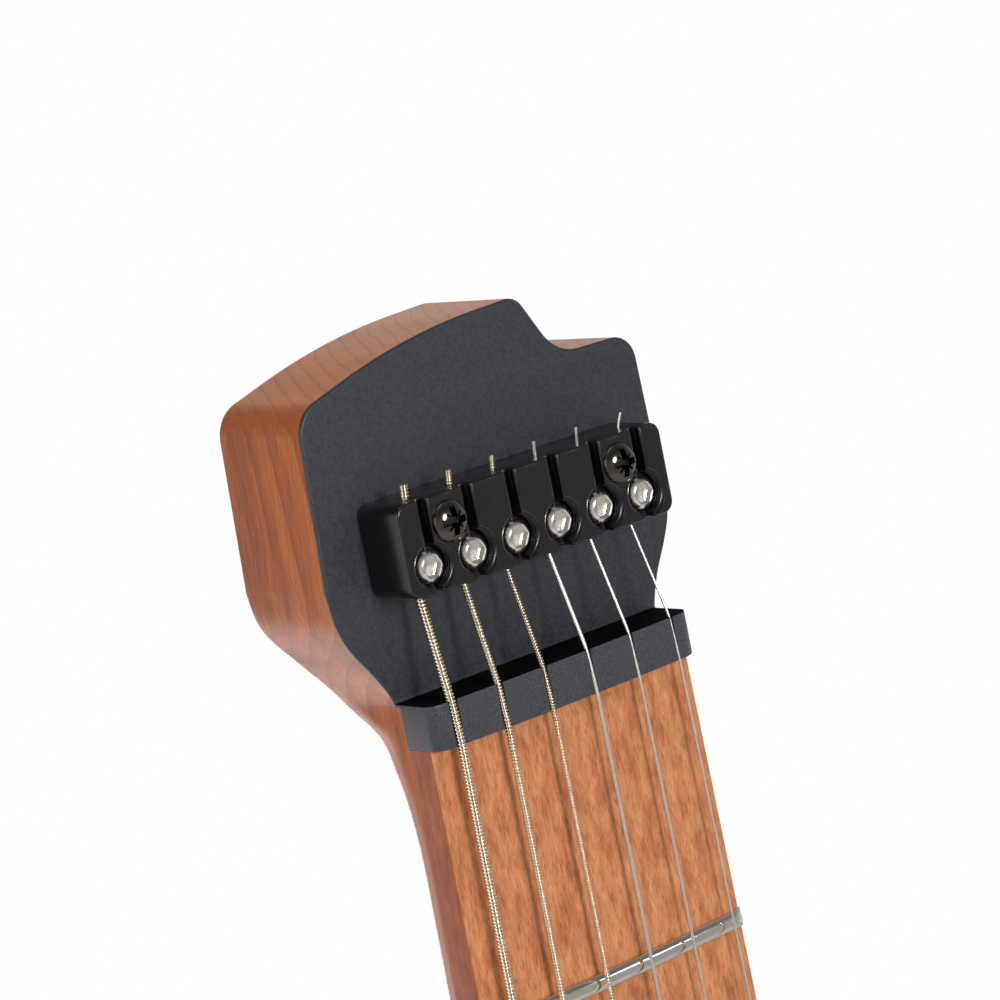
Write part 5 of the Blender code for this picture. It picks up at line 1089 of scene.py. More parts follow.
jackShape = {
    "place": (157.8, 33.1, 668), "seat": 154.8, "half": 15, "thickness": 1.8, "corner": 3.2, "hole": 7.6, "reach": 48,
    "nutRadius": 6.2, "nutHeight": 2.2, "bore": 3.25, "screwOut": 11.2, "neck": 4.6,
}
boltShape = {"x": 18, "lower": boardEnd - 9, "upper": boardEnd - 33, "radius": 5.6, "height": 4, "sink": 5.9}


def curvedOutline(corners, steps):
    # closed curve through the corners, as even points
    curve = bpy.data.curves.new("outline", "CURVE")
    curve.dimensions = "2D"
    curve.fill_mode = "NONE"
    curve.resolution_u = steps
    spline = curve.splines.new("BEZIER")
    spline.bezier_points.add(len(corners) - 1)
    spline.use_cyclic_u = True
    for knot, (x, distance) in zip(spline.bezier_points, corners):
        knot.co = (x * mm, nutLow.z - distance * mm, 0)
        knot.handle_left_type = knot.handle_right_type = "AUTO"
    holder = bpy.data.objects.new("outline", curve)
    bpy.context.scene.collection.objects.link(holder)
    graph = bpy.context.evaluated_depsgraph_get()
    mesh = bpy.data.meshes.new_from_object(holder.evaluated_get(graph))
    bpy.data.objects.remove(holder)
    return [Vector((vert.co.x, vert.co.y)) for vert in mesh.vertices]


def rectangle(halfX, halfZ, radius, x=0, distance=0, steps=6):
    corners = [(-halfX, -halfZ), (-halfX, halfZ), (halfX, halfZ), (halfX, -halfZ)]
    outline = roundOutline([((x + u) * mm, nutLow.z - (distance + v) * mm, radius * mm) for u, v in corners], steps=steps)
    return outline


def cavityOutline(grow, steps=6):
    corners = [Vector(place) for place in bodyShape["cavity"]]
    middle = sum(corners, Vector((0, 0))) / len(corners)
    grown = [corner + (corner - middle).normalized() * grow for corner in corners]
    radius = bodyShape["cavityCorner"] * mm
    return roundOutline([(*place, radius) for place in flatPlaces(grown)], steps=steps)


def forearmTool():
    shape = bodyShape
    ends = [spot(x, shape["face"], distance) for x, distance in shape["forearmLine"]]
    up = (ends[0] - ends[1]).normalized()
    behind = Vector((0, 1, 0))
    axes = Matrix((behind.cross(up), behind, up)).transposed().to_4x4()
    tilt = Matrix.Rotation(-math.atan2(shape["forearmDepth"], shape["forearmWidth"]), 4, "Z")
    turn = Matrix.Translation((ends[0] + ends[1]) / 2) @ axes @ tilt
    reach = 160 * mm
    square = [(-reach, -reach), (reach, -reach), (reach, 0), (-reach, 0)]
    rings = [[turn @ Vector((x, y, z)) for x, y in square] for z in (-reach, reach)]
    points, faces = skinRings(rings)
    return newPiece("forearmTool", points, faces, bodyWood)


def bellyTool():
    shape = bodyShape
    x, distance = shape["bellyPlace"]
    slope = shape["bellyDepth"] / shape["bellyWidth"]
    depth = shape["back"] + shape["bellyRadius"] * math.hypot(1, slope)
    wide, deep = shape["bellyWidth"], shape["bellyDepth"]
    start, end = (x + wide, depth + deep, distance), (x - wide * 2.5, depth - deep * 2.5, distance)
    return rodPiece("bellyTool", shape["bellyRadius"], start, end, bodyWood, 160)


def sharedTools():
    shape, front = bodyShape, bodyShape["face"] - 2
    half, recess = shape["pocketHalf"], shape["recessHalf"]
    tools = [
        forearmTool(),
        blockPiece("pocketTool", (-half, front, boardEnd + 0.3),
                   (half, shape["pocketFloor"], boardEnd - shape["pocketLength"]), bodyWood),
        slabPiece("recessTool", rectangle(recess, 8, 2.5, 0, boardEnd + 1), front, shape["recessFloor"], bodyWood),
    ]
    pick = pickupShape
    for name, distance in pick["places"].items():
        outline = rectangle(pick["width"] / 2 + pick["margin"], pick["length"] / 2 + pick["margin"],
                            pick["cavityCorner"], 0, distance)
        tools.append(slabPiece(name + "Tool", outline, front, pickupTop(name) + pick["height"] + pick["room"], bodyWood))
    return tools


def pickupTop(name):
    return (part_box(name)[0].y - boardFaceY) / mm + pickupShape["bladeRise"]


def makeBody():
    shape = bodyShape
    outline = curvedOutline(shape["outline"], shape["steps"])
    body = slabPiece("bodyWood", outline, shape["topBack"] + shape["seam"], shape["back"], bodyWood, 0.02,
                     shape["backRound"], 8)
    tools = sharedTools() + [bellyTool()]
    tools.append(slabPiece("cavityTool", cavityOutline(0), shape["topBack"] - 2, shape["back"] + 2, bodyWood))
    tools.append(slabPiece("ledgeTool", cavityOutline(shape["ledge"]), shape["back"] - shape["cover"] - 0.1,
                           shape["back"] + 2, bodyWood))
    x, depth, distance = jackShape["place"]
    half = jackShape["half"] + 0.3
    tools.append(blockPiece("jackSeatTool", (jackShape["seat"], depth - half, distance + half),
                            (x + 30, depth + half, distance - half), bodyWood))
    tools.append(rodPiece("jackHoleTool", jackShape["hole"], (x + 2, depth, distance), (x - jackShape["reach"], depth, distance),
                          bodyWood))
    for side in (-1, 1):
        for distance in (boltShape["lower"], boltShape["upper"]):
            place = side * boltShape["x"]
            tools.append(rodPiece("sinkTool", boltShape["sink"], (place, shape["back"] + 2, distance),
                                  (place, shape["back"] - boltShape["height"] - 0.3, distance), bodyWood))
    settle(cutAway(triangulated(body), tools), "guitar", "body_wood", "body")

    top = slabPiece("bodyTop", outline, shape["face"], shape["topBack"], charcoalPaint, shape["topRound"], 0.02, 5)
    tools = sharedTools()
    for name in ("volume", "tone"):
        x, distance = controlShape[name]
        tools.append(rodPiece("bushTool", controlShape["bush"], (x, 7, distance), (x, 18, distance), charcoalPaint))
    x, distance = controlShape["switch"]
    slot = rectangle(controlShape["slotHalfWidth"], controlShape["slotHalfLength"], 1.2, x, distance)
    tools.append(slabPiece("slotTool", slot, 7, 18, charcoalPaint))
    settle(cutAway(triangulated(top), tools), "guitar", "charcoal_satin", "body_top")


def triangulated(piece):
    work = bmesh.new()
    work.from_mesh(piece.data)
    bmesh.ops.triangulate(work, faces=[face for face in work.faces if len(face.verts) > 4])
    work.to_mesh(piece.data)
    work.free()
    return piece


makeBody()
print("body made")


# Cover of the control cavity, neck bolts in their cups, strap buttons

def makeCover():
    shape = bodyShape
    cover = slabPiece("controlCover", cavityOutline(shape["ledge"] - 0.3, 10), shape["back"] - shape["cover"],
                      shape["back"], blackAbs, 0.1, 0.5, 3)
    tools, heads = [], []
    corners = [Vector(place) for place in shape["cavity"]]
    middle = sum(corners, Vector((0, 0))) / len(corners)
    for number, corner in enumerate(corners):
        x, distance = corner + (corner - middle).normalized() * (shape["ledge"] - 6.6)
        place = spot(x, shape["back"], distance)
        tools.append(turnedPiece("sinkTool", [(2.6, 0.5), (2.1, -0.9)], "Y", place, blackAbs, 24))
        heads.append(smallScrew(f"coverScrew{number + 1}", spot(x, shape["back"] - 0.85, distance), 2.0, 0.7, "Y"))
    settle(cutAway(cover, tools), "guitar", "black_plastic", "control_cover")
    for head in heads:
        settle(head, "guitar", "black_steel")


def makeBolts():
    shape = boltShape
    number = 0
    for side in (-1, 1):
        for distance in (shape["upper"], shape["lower"]):
            number += 1
            place = spot(side * shape["x"], bodyShape["back"] - 0.3, distance)
            cup = turnedPiece(f"boltCup{number}", [
                (shape["radius"] - 1.6, -0.9), (shape["radius"] - 1.1, -0.25), (shape["radius"] - 0.6, 0),
                (shape["radius"] - 0.15, -0.1), (shape["radius"], -0.4), (shape["radius"], -shape["height"]),
                (shape["radius"] - 1.6, -shape["height"]), (shape["radius"] - 1.6, -0.9),
            ], "Y", place, blackSteel, 48)
            settle(cup, "guitar", "black_steel")
            seat = place + Vector((0, -1.9 * mm, 0))
            head = turnedPiece(f"neckBolt{number}", [
                (0, 1.5), (2.4, 1.45), (3.3, 1.2), (3.8, 0.6), (3.85, 0), (3.85, -2), (0, -2),
            ], "Y", seat, blackSteel, 48)
            cutAway(head, [hexTool("drive", seat + Vector((0, 1.5 * mm, 0)), 2.3, 1.8, blackSteel, "Y")])
            settle(head, "guitar", "black_steel", f"neck_bolt_{number}")


def makeStrapButtons():
    for name, axis in (("upper", "Z"), ("lower", "-Z")):
        low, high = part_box(f"strap_button_{name}")
        end = high.z if axis == "Z" else low.z
        place = Vector(((low.x + high.x) / 2, (low.y + high.y) / 2, end)) - outward(axis) * 13 * mm
        profile = [(0, 11.6), (2.9, 11.6), (4.2, 12.75), (5.6, 13), (6.5, 12.8), (7.0, 12.3), (7.2, 11.4), (7.1, 10.4),
                   (6.4, 9.3), (4.9, 7.9), (3.9, 6.6), (3.6, 5.2), (3.6, 3.6), (4.0, 2.4), (5.0, 1.4), (5.76, 0.9), (0, 0.9)]
        button = turnedPiece(f"strapButton_{name}", profile, axis, place, blackSteel, 64)
        settle(button, "guitar", "black_steel", f"strap_button_{name}")
        head = smallScrew(f"strapScrew_{name}", place + outward(axis) * 11.62 * mm, 2.7, 1.0, axis)
        settle(head, "guitar", "black_steel")
        washer = turnedPiece(f"strapWasher_{name}", [
            (3, 0.9), (6.1, 0.9), (6.35, 0.65), (6.4, 0.3), (6.2, -0.6), (3, -0.6), (3, 0.9),
        ], axis, place, blackAbs, 48)
        settle(washer, "guitar", "black_plastic")


makeCover()
makeBolts()
makeStrapButtons()
print("back and strap buttons made")


# Truss rod wheel and side dots

def makeWheel():
    low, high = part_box("truss_rod_wheel")
    middle = (low + high) / 2
    wheel = turnedPiece("trussRodWheel", [
        (2.35, 2.9), (2.7, 3.0), (4.7, 3.0), (5.2, 2.8), (5.4, 2.35), (5.4, -2.35), (5.2, -2.8), (4.7, -3.0), (2.7, -3.0),
        (2.35, -2.9), (2.35, 2.9),
    ], "Z", middle, brightNickel, 72)
    tools = []
    for number in range(6):
        angle = 2 * math.pi * number / 6
        out = Vector((math.cos(angle), math.sin(angle), 0))
        turn = out.to_track_quat("Z", "Y")
        rings = [[middle + turn @ Vector((1.1 * mm * math.cos(t), 1.1 * mm * math.sin(t), reach * mm))
                  for t in (2 * math.pi * k / 20 for k in range(20))] for reach in (3.05, 6.4)]
        points, faces = skinRings(rings)
        tools.append(newPiece("spokeTool", points, faces, brightNickel))
    settle(cutAway(wheel, tools), "truss_rod_wheel", "nickel", "truss_rod_wheel")


def makeSideDots():
    for number in (3, 5, 7, 9, 12, 15, 17, 19, 21, 24):
        middle = (fretPlace(number) + fretPlace(number - 1)) / 2
        offsets = (-2.2, 2.2) if number in (12, 24) else (0,)
        for count, offset in enumerate(offsets):
            place = spot(-halfBoard(middle + offset), 2.7, middle + offset)
            dot = turnedPiece(f"sideDot{number}_{count + 1}", [(0, 0.04), (0.8, 0.04), (1.0, 0.0), (1.0, -0.3), (0, -0.3)],
                              "-X", place, dotAluminium, 24)
            settle(dot, "guitar", "nickel")


makeWheel()
makeSideDots()


# Bridge: milled base, saddles, string carriages and thumb screws

bridgeShape = {
    "scale": 648, "front": 15, "rear": 72, "housing": 30, "half": 35, "under": 0.3, "floor": 3.3, "roof": 13.9,
    "pitch": 10.5, "channelHalf": 4.8, "rearWall": 8, "pullHeight": 8.3, "pullRadius": 1.9, "sadFront": 7,
    "sadRear": 12, "saddleHalf": 4.85, "saddleFoot": 5.2, "grubX": 2.75, "grubPlace": 3.5, "grubRadius": 1.4,
    "carriageHalf": 4.5, "carriageFront": 38, "carriageLength": 18, "carriageLow": 3.6, "carriageHigh": 12.6,
    "pocketHalf": 2.3, "slitHalf": 0.92, "boreDepth": 9.5, "knobRadius": 4.8, "knobLength": 13, "collar": 1.2,
    "knurls": 26, "knurlRows": 40, "knurlDepth": 0.26, "knurlPitch": 1.3, "shankTip": 22.5, "threadPitch": 0.7,
}


def above(height):
    # depth of a place this high above the body's face
    return bodyShape["face"] - height


def barAcross(name, sideView, x, half, finish, sharp=35):
    # extrudes a side view of (distance, height above the body) corners across the strings
    rings = [[spot(x + side * half, above(height), distance) for distance, height in sideView] for side in (-1, 1)]
    points, faces = skinRings(rings)
    return newPiece(name, points, faces, finish, sharp)


def makeBridgeBase():
    shape = bridgeShape
    scale = shape["scale"]
    view = [
        (scale - shape["front"], shape["under"]), (scale - shape["front"], shape["floor"]),
        (scale + shape["housing"], shape["floor"]), (scale + shape["housing"], shape["roof"]),
        (scale + shape["rear"], shape["roof"]), (scale + shape["rear"], shape["under"]),
    ]
    base = eased(barAcross("bridgeBase", view, 0, shape["half"], anodisedBlack), 0.9, 3)
    tools = []
    wall = scale + shape["rear"] - shape["rearWall"]
    for index in range(6):
        x = stringX(index, scale)
        half = shape["channelHalf"]
        tools.append(blockPiece("channelTool", (x - half, above(shape["roof"] + 2), wall),
                                (x + half, above(shape["floor"] - 0.01), scale + shape["housing"] - 2), anodisedBlack))
        tools.append(rodPiece("pullTool", shape["pullRadius"] + 0.35, (x, above(shape["pullHeight"]), wall - 2),
                              (x, above(shape["pullHeight"]), scale + shape["rear"] + 2), anodisedBlack, 24))
    screws = [(-28.5, 635.8), (28.5, 635.8), (-21, 672.5), (0, 672.5), (21, 672.5)]
    for number, (x, distance) in enumerate(screws, 1):
        radius = 1.7 if distance < scale else 2.6
        tools.append(turnedPiece("sinkTool", [(radius + 0.5, 0.3), (radius + 0.15, -0.8)], "-Y",
                                 spot(x, above(shape["floor"]), distance), anodisedBlack, 32))
    cutAway(base, tools)
    eased(base, 0.18, 2, 40)
    settle(base, "guitar", "black_anodised", "bridge_base")
    for number, (x, distance) in enumerate(screws, 1):
        radius = 1.7 if distance < scale else 2.6
        screw = smallScrew(f"bridgeScrew{number}", spot(x, above(shape["floor"] - 0.75), distance), radius, 0.9)
        settle(screw, "guitar", "black_steel")


def makeSaddle(index):
    shape = bridgeShape
    name = f"saddle_{index + 1}"
    radius = stringSet["radius"][index]
    line = shape["scale"] + stringSet["intonation"][index]
    crest = shape["roof"] * 0 + bodyShape["face"] - stringDepth(index, line) - radius - 0.3
    x = stringX(index, shape["scale"])
    low = shape["saddleFoot"]
    corners = [
        (line - 7, low, 0.3), (line - 7, crest - 3.4, 1.0), (line - 2, crest - 0.5, 2.5), (line - 0.2, crest, 0.9),
        (line + 1.2, crest - 0.15, 1.2), (line + 3.2, crest - 1.2, 4), (line + 10, crest - 4.6, 2.5),
        (line + 12, crest - 5, 0.6), (line + 12, low, 0.3),
    ]
    view = [(point.x, point.y) for point in roundOutline(corners, steps=5)]
    saddle = eased(barAcross(name + "Block", view, x, shape["saddleHalf"], anodisedBlack, 50), 0.35, 3, 50)
    depth = above(crest) - radius * 0.6
    notch = [(x, depth - 0.1, line - 8), (x, depth + 0.22, line - 0.5), (x, depth + 1.0, line + 6)]
    tools = [rodPiece("notchTool", radius + 0.14, start, end, anodisedBlack, 20) for start, end in zip(notch, notch[1:])]
    grubs = []
    for side in (-1, 1):
        at = (x + side * shape["grubX"], line - shape["grubPlace"])
        tools.append(rodPiece("grubTool", shape["grubRadius"] + 0.12, (at[0], above(crest + 3), at[1]),
                              (at[0], above(low - 1), at[1]), anodisedBlack, 24))
        top = crest - 2.6
        grub = turnedPiece(f"grub{index + 1}_{1 if side < 0 else 2}", [
            (0, top - low + 1.3), (1.15, top - low + 1.3), (1.4, top - low + 1.0), (1.4, -1.2), (0.9, -1.6), (0, -1.6),
        ], "-Y", spot(at[0], above(low), at[1]), blackSteel, 24)
        crown = spot(at[0], above(top + 1.3), at[1])
        cutAway(grub, [hexTool("drive", crown, 0.8, 1.2, blackSteel)])
        grubs.append(grub)
    settle(cutAway(saddle, tools), name, "black_anodised", name)
    for grub in grubs:
        settle(grub, name, "black_steel")


def makeCarriage(index):
    shape = bridgeShape
    name = f"string_carriage_{index + 1}"
    x = stringX(index, shape["scale"])
    front = shape["scale"] + shape["carriageFront"]
    rear = front + shape["carriageLength"]
    half, pull = shape["carriageHalf"], shape["pullHeight"]
    block = blockPiece(name + "Block", (x - half, above(shape["carriageHigh"]), rear), (x + half, above(shape["carriageLow"]), front),
                       anodisedBlack)
    eased(block, 0.7, 3)
    pocket, slit = shape["pocketHalf"], shape["slitHalf"]
    tools = [
        slabPiece("pocketTool", rectangle(pocket, pocket, 0.9, x, front + 3 + pocket), above(shape["carriageHigh"] + 2),
                  above(pull - pocket), anodisedBlack),
        blockPiece("slitTool", (x - slit, above(shape["carriageHigh"] + 2), front + 4), (x + slit, above(pull - slit), front - 2),
                   anodisedBlack),
        rodPiece("boreTool", shape["pullRadius"] + 0.1, (x, above(pull), rear + 2), (x, above(pull), rear - shape["boreDepth"]),
                 anodisedBlack, 24),
    ]
    settle(eased(cutAway(block, tools), 0.15, 2, 40), name, "black_anodised", name)
    ball = turnedPiece(f"ballEnd{index + 1}", [
        (0.55, 1.7), (1.6, 1.7), (1.85, 1.5), (1.9, 1.2), (1.55, 0.75), (1.35, 0), (1.55, -0.75), (1.9, -1.2), (1.85, -1.5),
        (1.6, -1.7), (0.55, -1.7), (0.55, 1.7),
    ], "X", spot(x, above(pull), front + 3 + pocket), ballBrass, 32)
    settle(ball, name, "string_steel")


def makeThumbScrew(index):
    # knurled knob with a turned face, and a threaded shank
    shape = bridgeShape
    name = f"tuner_knob_{index + 1}"
    place = spot(stringX(index, shape["scale"]), above(shape["pullHeight"]), shape["scale"] + shape["rear"] + 0.3)
    sides = shape["knurls"] * 4
    rings = []

    def ring(radius, height):
        rings.append([place + Vector((radius * math.cos(2 * math.pi * k / sides), radius * math.sin(2 * math.pi * k / sides),
                                      height)) * mm for k in range(sides)])
    thread = shape["pullRadius"]
    ring(0.00001, shape["shankTip"])
    ring(thread - 0.45, shape["shankTip"])
    turns = int((shape["shankTip"] - 0.8) / shape["threadPitch"])
    for step in range(turns):
        top = shape["shankTip"] - 0.4 - step * shape["threadPitch"]
        ring(thread, top)
        ring(thread - 0.38, top - shape["threadPitch"] / 2)
    ring(thread, 0.2)
    ring(thread, 0)
    collar, full = shape["knobRadius"] * 0.72, shape["knobRadius"]
    ring(collar, 0)
    ring(collar, -shape["collar"])
    ring(full - 0.55, -shape["collar"] - 0.02)
    ring(full - 0.15, -shape["collar"] - 0.35)
    start, end = -shape["collar"] - 0.6, -shape["knobLength"] + 0.9
    for row in range(shape["knurlRows"] + 1):
        height = start + (end - start) * row / shape["knurlRows"]
        fade = min(1, row / 2, (shape["knurlRows"] - row) / 2)
        line = []
        for k in range(sides):
            lead = k / 4
            rise = height / shape["knurlPitch"]
            waves = [abs((lead + way * rise) % 1 * 2 - 1) for way in (-1, 1)]
            radius = full - shape["knurlDepth"] * fade * max(waves)
            angle = 2 * math.pi * k / sides
            line.append(place + Vector((radius * math.cos(angle), radius * math.sin(angle), height)) * mm)
        rings.append(line)
    for radius, height in ((full - 0.15, end - 0.25), (full - 0.6, end - 0.75), (full - 1.1, end - 0.9), (1.9, end - 0.9),
                           (1.7, end - 0.7), (1.2, end - 0.35), (0.00001, end - 0.2)):
        ring(radius, height)
    points, faces = skinRings(rings)
    knob = newPiece(f"thumbScrew{index + 1}", points, faces, anodisedBlack, 28)
    settle(knob, name, "black_anodised", name)


makeBridgeBase()
for index in range(6):
    makeSaddle(index)
    makeCarriage(index)
    makeThumbScrew(index)
print("bridge made")


# Pickups, dials, lever switch and output socket

def makePickup(name):
    shape = pickupShape
    distance, top = shape["places"][name], pickupTop(name)
    outline = rectangle(shape["width"] / 2, shape["length"] / 2, shape["corner"], 0, distance, 10)
    cover = slabPiece(name + "Cover", outline, top, top + shape["height"], blackAbs, shape["edge"], 0.1, 6)
    tools = []
    for side in (-1, 1):
        tools.append(turnedPiece("sinkTool", [(shape["screwRadius"] + 0.45, 0.2), (shape["screwRadius"] + 0.1, -0.7)], "-Y",
                                 spot(side * shape["screwX"], top, distance), blackAbs, 32))
        at = distance + side * shape["bladeSpacing"] / 2
        slot = rectangle(shape["bladeLength"] / 2 + 0.12, shape["bladeWidth"] / 2 + 0.12, 1.0, 0, at)
        tools.append(slabPiece("slotTool", slot, top - 1, top + 0.8, blackAbs))
    settle(cutAway(triangulated(cover), tools), "guitar", "black_plastic", name)
    for side in (-1, 1):
        at = distance + side * shape["bladeSpacing"] / 2
        outline = rectangle(shape["bladeLength"] / 2, shape["bladeWidth"] / 2, 0.9, 0, at)
        number = 1 if side < 0 else 2
        blade = slabPiece(f"{name}Blade{number}", outline, top - shape["bladeRise"], top + 0.9, plainSteel, 0.35, 0.05, 4)
        settle(blade, "guitar", "string_steel")
        screw = smallScrew(f"{name}Screw{number}", spot(side * shape["screwX"], top + 0.6, distance), shape["screwRadius"], 0.6)
        settle(screw, "guitar", "black_steel")


def makeDial(name):
    # fluted dial with a polished rim, a dished top and an inlaid line
    shape = controlShape
    x, distance = shape[name]
    place = spot(x, bodyShape["face"] - shape["dialLift"], distance)
    turn = outward("-Y").to_track_quat("Z", "Y")
    sides, full, tall = shape["flutes"] * 6, shape["dialRadius"], shape["dialHeight"]
    rings = []
    profile = [(shape["shaftRadius"], -shape["shaftLength"]), (shape["shaftRadius"], 0), (full - 0.8, 0), (full - 0.35, 0.15),
               (full - 0.2, 0.6), (full - 0.25, 1.1)]
    profile += [(full - 0.3 - 0.03 * row, 1.5 + (tall - 4) * row / 10) for row in range(11)]
    profile += [(full - 0.65, tall - 2.1), (full - 0.7, tall - 1.3), (full - 1.0, tall - 0.6), (full - 1.6, tall - 0.15),
                (full - 2.2, tall), (full - 2.5, tall - 0.05), (full - 2.9, tall - 0.3), (2, tall - 0.5), (0.00001, tall - 0.5)]
    profile = [(0.00001, -shape["shaftLength"])] + profile
    for radius, height in profile:
        fluted = 1.5 <= height <= tall - 2.4
        line = []
        for k in range(sides):
            angle = 2 * math.pi * k / sides
            cut = shape["fluteDepth"] * (0.5 - 0.5 * math.cos(shape["flutes"] * angle)) if fluted else 0
            line.append(place + turn @ Vector(((radius - cut) * math.cos(angle), (radius - cut) * math.sin(angle), height)) * mm)
        rings.append(line)
    points, faces = skinRings(rings)
    dial = newPiece(f"{name}Dial", points, faces, anodisedBlack, 40)
    settle(dial, f"{name}_knob", "black_anodised", f"{name}_knob")
    crown = bodyShape["face"] - shape["dialLift"] - tall + 0.45
    line = slabPiece(f"{name}Line", rectangle(0.45, 1.9, 0.4, x, distance - 3.7), crown - 0.12, crown + 0.3, dotAluminium, 0.05)
    settle(line, f"{name}_knob", "nickel")


def makeLever():
    low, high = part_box("selector_lever")
    x = (low.x + high.x) / 2
    z = (low.z + high.z) / 2
    tip, length = 3.2, 9
    grip = turnedPiece("leverTip", [
        (0, length), (1.0, length - 0.06), (2.0, length - 0.4), (2.75, length - 1.2), (3.1, length - 2.2), (tip, length - 3.1),
        (3.12, length - 4.6), (2.85, length - 6.2), (2.6, 2.2), (2.45, 1.0), (2.35, 0.25), (2.1, 0), (0, 0),
    ], "-Y", Vector((x, low.y + length * mm, z)), blackAbs, 40)
    settle(grip, "selector_lever", "black_plastic", "selector_lever")
    rings = []
    for depth in (low.y + (length - 2) * mm, high.y):
        rings.append([(x - 0.8 * mm, depth, z - 2.1 * mm), (x + 0.8 * mm, depth, z - 2.1 * mm),
                      (x + 0.8 * mm, depth, z + 2.1 * mm), (x - 0.8 * mm, depth, z + 2.1 * mm)])
    points, faces = skinRings(rings)
    arm = eased(newPiece("leverArm", points, faces, brightNickel), 0.25, 2)
    settle(arm, "selector_lever", "nickel")


def makeSocket():
    shape = jackShape
    x, depth, distance = shape["place"]
    seat = spot(shape["seat"] + 0.3, depth, distance)
    half, corner = shape["half"] * mm, shape["corner"] * mm
    square = roundOutline([(-half, -half, corner), (-half, half, corner), (half, half, corner), (half, -half, corner)], steps=8)
    points, faces = roundedSlab(square, -shape["thickness"] * mm, 0, 0.4 * mm, 0.05 * mm, 4)
    points = [(seat.x - y, seat.y + u, seat.z + v) for u, y, v in points]
    plate = newPiece("jackPlate", points, faces, anodisedBlack, 40)
    face = seat + Vector((shape["thickness"] * mm, 0, 0))
    tools = [turnedPiece("holeTool", [(shape["neck"] + 0.5, 0.3), (shape["neck"] + 0.1, -0.2), (shape["neck"] + 0.1, -3)], "X",
                         face, anodisedBlack, 40)]
    heads = []
    for u in (-1, 1):
        for v in (-1, 1):
            out = Vector((0, u, v)) * shape["screwOut"] * mm
            tools.append(turnedPiece("sinkTool", [(2.5, 0.4), (1.75, -1.0)], "X", face + out, anodisedBlack, 28))
            heads.append(smallScrew(f"jackScrew{len(heads) + 1}", face + out - Vector((0.75 * mm, 0, 0)), 1.7, 0.85, "X"))
    settle(cutAway(triangulated(plate), tools), "guitar", "black_anodised", "jack_plate")
    for head in heads:
        settle(head, "guitar", "black_steel")
    rings = []
    for height, share in ((0, 0.97), (0.25, 1), (shape["nutHeight"] - 0.9, 1), (shape["nutHeight"] - 0.55, 0.94)):
        rings.append([face + Vector((height * mm, shape["nutRadius"] * share * mm * math.cos(math.pi / 3 * k),
                                     shape["nutRadius"] * share * mm * math.sin(math.pi / 3 * k))) for k in range(6)])
    points, faces = skinRings(rings)
    nut = newPiece("jackNut", points, faces, brightNickel, 25)
    bore = turnedPiece("boreTool", [(shape["neck"] - 0.05, 3), (shape["neck"] - 0.05, -3)], "X", face, brightNickel, 40)
    settle(cutAway(nut, [bore]), "guitar", "nickel")
    top = shape["nutHeight"] + 0.3
    profile = [(shape["bore"], top - 0.3), (shape["bore"] + 0.35, top), (shape["neck"] - 0.3, top)]
    for step in range(8):
        profile += [(shape["neck"] - 0.05, top - 0.2 - 0.5 * step), (shape["neck"] - 0.35, top - 0.45 - 0.5 * step)]
    profile += [(shape["neck"] - 0.1, -3), (7, -3.2), (7, -26), (0, -26), (0, -22), (shape["bore"], -22), (shape["bore"], top - 0.3)]
    profile = [(max(radius, 0.001), height) for radius, height in profile]
    socketBody = turnedPiece("jackSocket", profile, "X", face, brightNickel, 48)
    settle(socketBody, "guitar", "nickel", "output_jack")


for name in pickupShape["places"]:
    makePickup(name)
for name in ("volume", "tone"):
    makeDial(name)
makeLever()
makeSocket()
print("pickups and controls made")


# Pieces whose CAD shape stays, with their finishes

finishes = {
    "roasted_maple": roastedMaple, "body_wood": roastedMaple, "charcoal_satin": charcoalPaint,
    "black_anodised": anodisedBlack, "black_steel": blackSteel, "nickel": brightNickel,
    "graphite_composite": graphite, "black_plastic": blackAbs, "string_steel": plainSteel,
}
slotOf = {entry["node"]: entry["material_slot"] for entry in frame["record"]["subparts"]}
for name, node in nodes.items():
    if not node.hide_render:
        node.data.materials.clear()
        node.data.materials.append(finishes.get(slotOf.get(name), anodisedBlack))
print("finishes set on", sum(not node.hide_render for node in nodes.values()), "kept nodes")


# Studio: pale floor, soft lamps in front, beside, above and behind, and the photograph's camera

studio = {
    "floorHeight": -0.80, "floorRadius": 1.5, "aim": (0, 0, 0.0), "worldDiffuse": 0.4, "frontGloss": 0.42, "upperGloss": 0.35,
    # name: place, disk's width, power
    "lamps": {
        "key": ((-0.05, -1.3, 0.3), 0.4, 10), "side": ((-1.4, 0.0, 0.3), 1.0, 5.5), "top": ((-0.2, 0.1, 1.4), 0.9, 1.6),
        "back": ((0.75, 1.45, -0.3), 0.7, 6), "under": ((-0.2, 0.9, -0.5), 0.55, 1.9),
        "glint": ((0.79, -1.0, 0.28), 0.14, 0.4),
    },
    "cameraPlace": (-0.2664, -0.3528, 0.1150), "cameraForward": (0.5993184, 0.78266703, -0.16807669),
    "cameraRoll": -11.43, "cameraLens": 126.7,
}


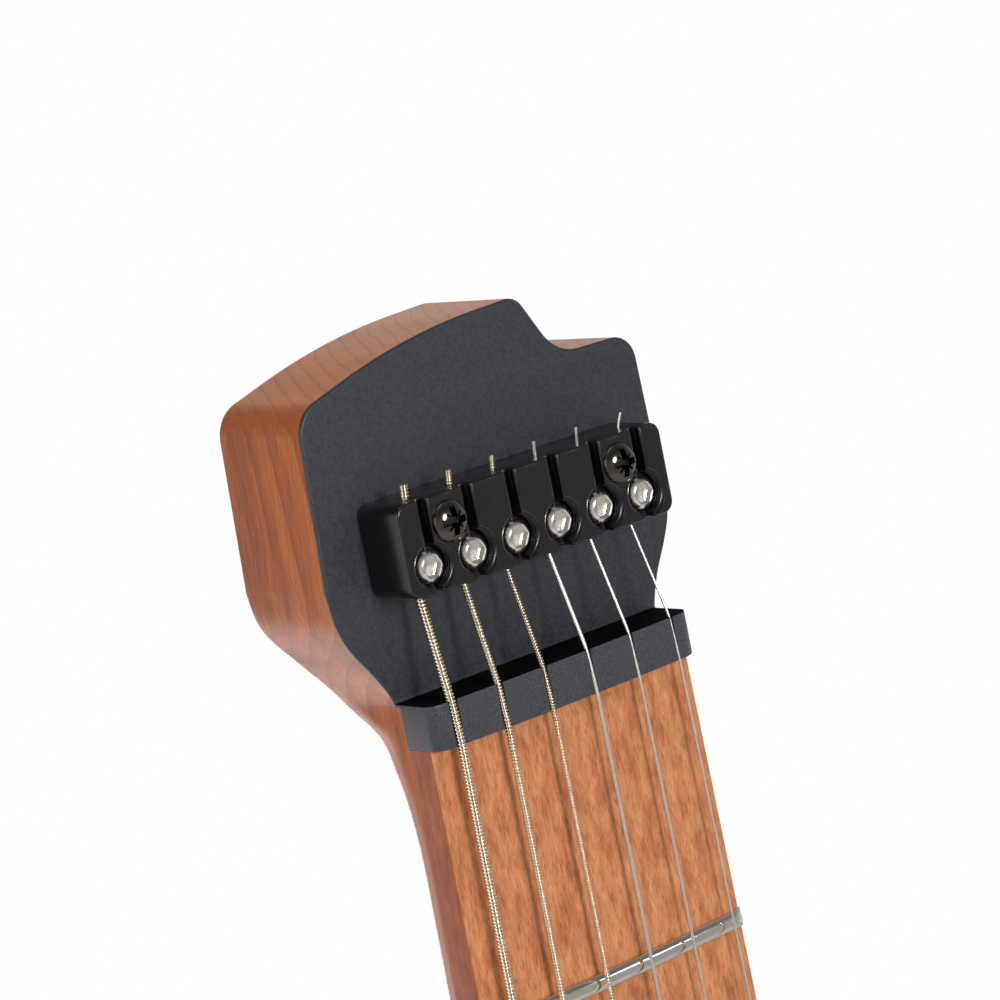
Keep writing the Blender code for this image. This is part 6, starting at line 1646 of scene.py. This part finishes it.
def makeStudio():
    scene = bpy.context.scene
    scene.view_settings.view_transform = "Standard"
    world = bpy.data.worlds.new("studio")
    world.use_nodes = True
    scene.world = world
    tree = world.node_tree
    tree.nodes.clear()
    # white where the camera looks, plain for soft light, and in reflections white behind, grey in front and above
    path = addNode(tree, "ShaderNodeLightPath")
    way = addNode(tree, "ShaderNodeTexCoord").outputs["Generated"]
    parts = addNode(tree, "ShaderNodeSeparateXYZ", links={"Vector": way})
    front = addNode(tree, "ShaderNodeMapRange", {
        "From Min": -0.6, "From Max": 0.2, "To Min": studio["frontGloss"], "To Max": 1.0,
    }, {"Value": parts.outputs["Y"]})
    over = addNode(tree, "ShaderNodeMapRange", {
        "From Min": 0.05, "From Max": 0.6, "To Min": 1.0, "To Max": studio["upperGloss"],
    }, {"Value": parts.outputs["Z"]})
    gloss = addNode(tree, "ShaderNodeMath", {"operation": "MULTIPLY"}, {
        "Value": front.outputs["Result"], "Value_001": over.outputs["Result"],
    })
    mirrored = addNode(tree, "ShaderNodeMath", {"operation": "MAXIMUM"}, {
        "Value": path.outputs["Is Glossy Ray"], "Value_001": path.outputs["Is Transmission Ray"],
    })
    unseen = addNode(tree, "ShaderNodeMix", {"data_type": "FLOAT", "A_Float": studio["worldDiffuse"]}, {
        "Factor_Float": mirrored.outputs["Value"], "B_Float": gloss.outputs["Value"],
    })
    strength = addNode(tree, "ShaderNodeMath", {"operation": "MAXIMUM"}, {
        "Value": path.outputs["Is Camera Ray"], "Value_001": socket(unseen.outputs, "Result_Float"),
    })
    white = addNode(tree, "ShaderNodeBackground", {"Color": (1, 1, 1, 1)}, {"Strength": strength.outputs["Value"]})
    addNode(tree, "ShaderNodeOutputWorld", links={"Surface": white.outputs["Background"]})

    for name, (place, width, power) in studio["lamps"].items():
        lamp = bpy.data.lights.new(name, "AREA")
        lamp.shape = "DISK"
        lamp.size = width
        lamp.energy = power
        holder = bpy.data.objects.new(name, lamp)
        holder.location = place
        holder.rotation_euler = (Vector(studio["aim"]) - holder.location).to_track_quat("-Z", "Y").to_euler()
        scene.collection.objects.link(holder)

    floorPaint, tree, shader, place = newMaterial("studio floor, matt paint", {"Base Color": "#E9E8E6", "Roughness": 0.9})
    work = bmesh.new()
    bmesh.ops.create_circle(work, cap_ends=True, segments=96, radius=studio["floorRadius"])
    mesh = bpy.data.meshes.new("floor")
    work.to_mesh(mesh)
    work.free()
    floor = bpy.data.objects.new("floor", mesh)
    floor.location.z = studio["floorHeight"]
    mesh.materials.append(floorPaint)
    scene.collection.objects.link(floor)

    data = bpy.data.cameras.new("photoCamera")
    data.lens = studio["cameraLens"]
    data.sensor_width = 36
    data.clip_start = 0.01
    camera = bpy.data.objects.new("photoCamera", data)
    forward = Vector(studio["cameraForward"])
    turn = forward.to_track_quat("-Z", "Y").to_matrix().to_4x4()
    roll = Matrix.Rotation(math.radians(studio["cameraRoll"]), 4, "Z")
    camera.matrix_world = Matrix.Translation(studio["cameraPlace"]) @ turn @ roll
    scene.collection.objects.link(camera)
    scene.camera = camera


makeStudio()
print("studio set")
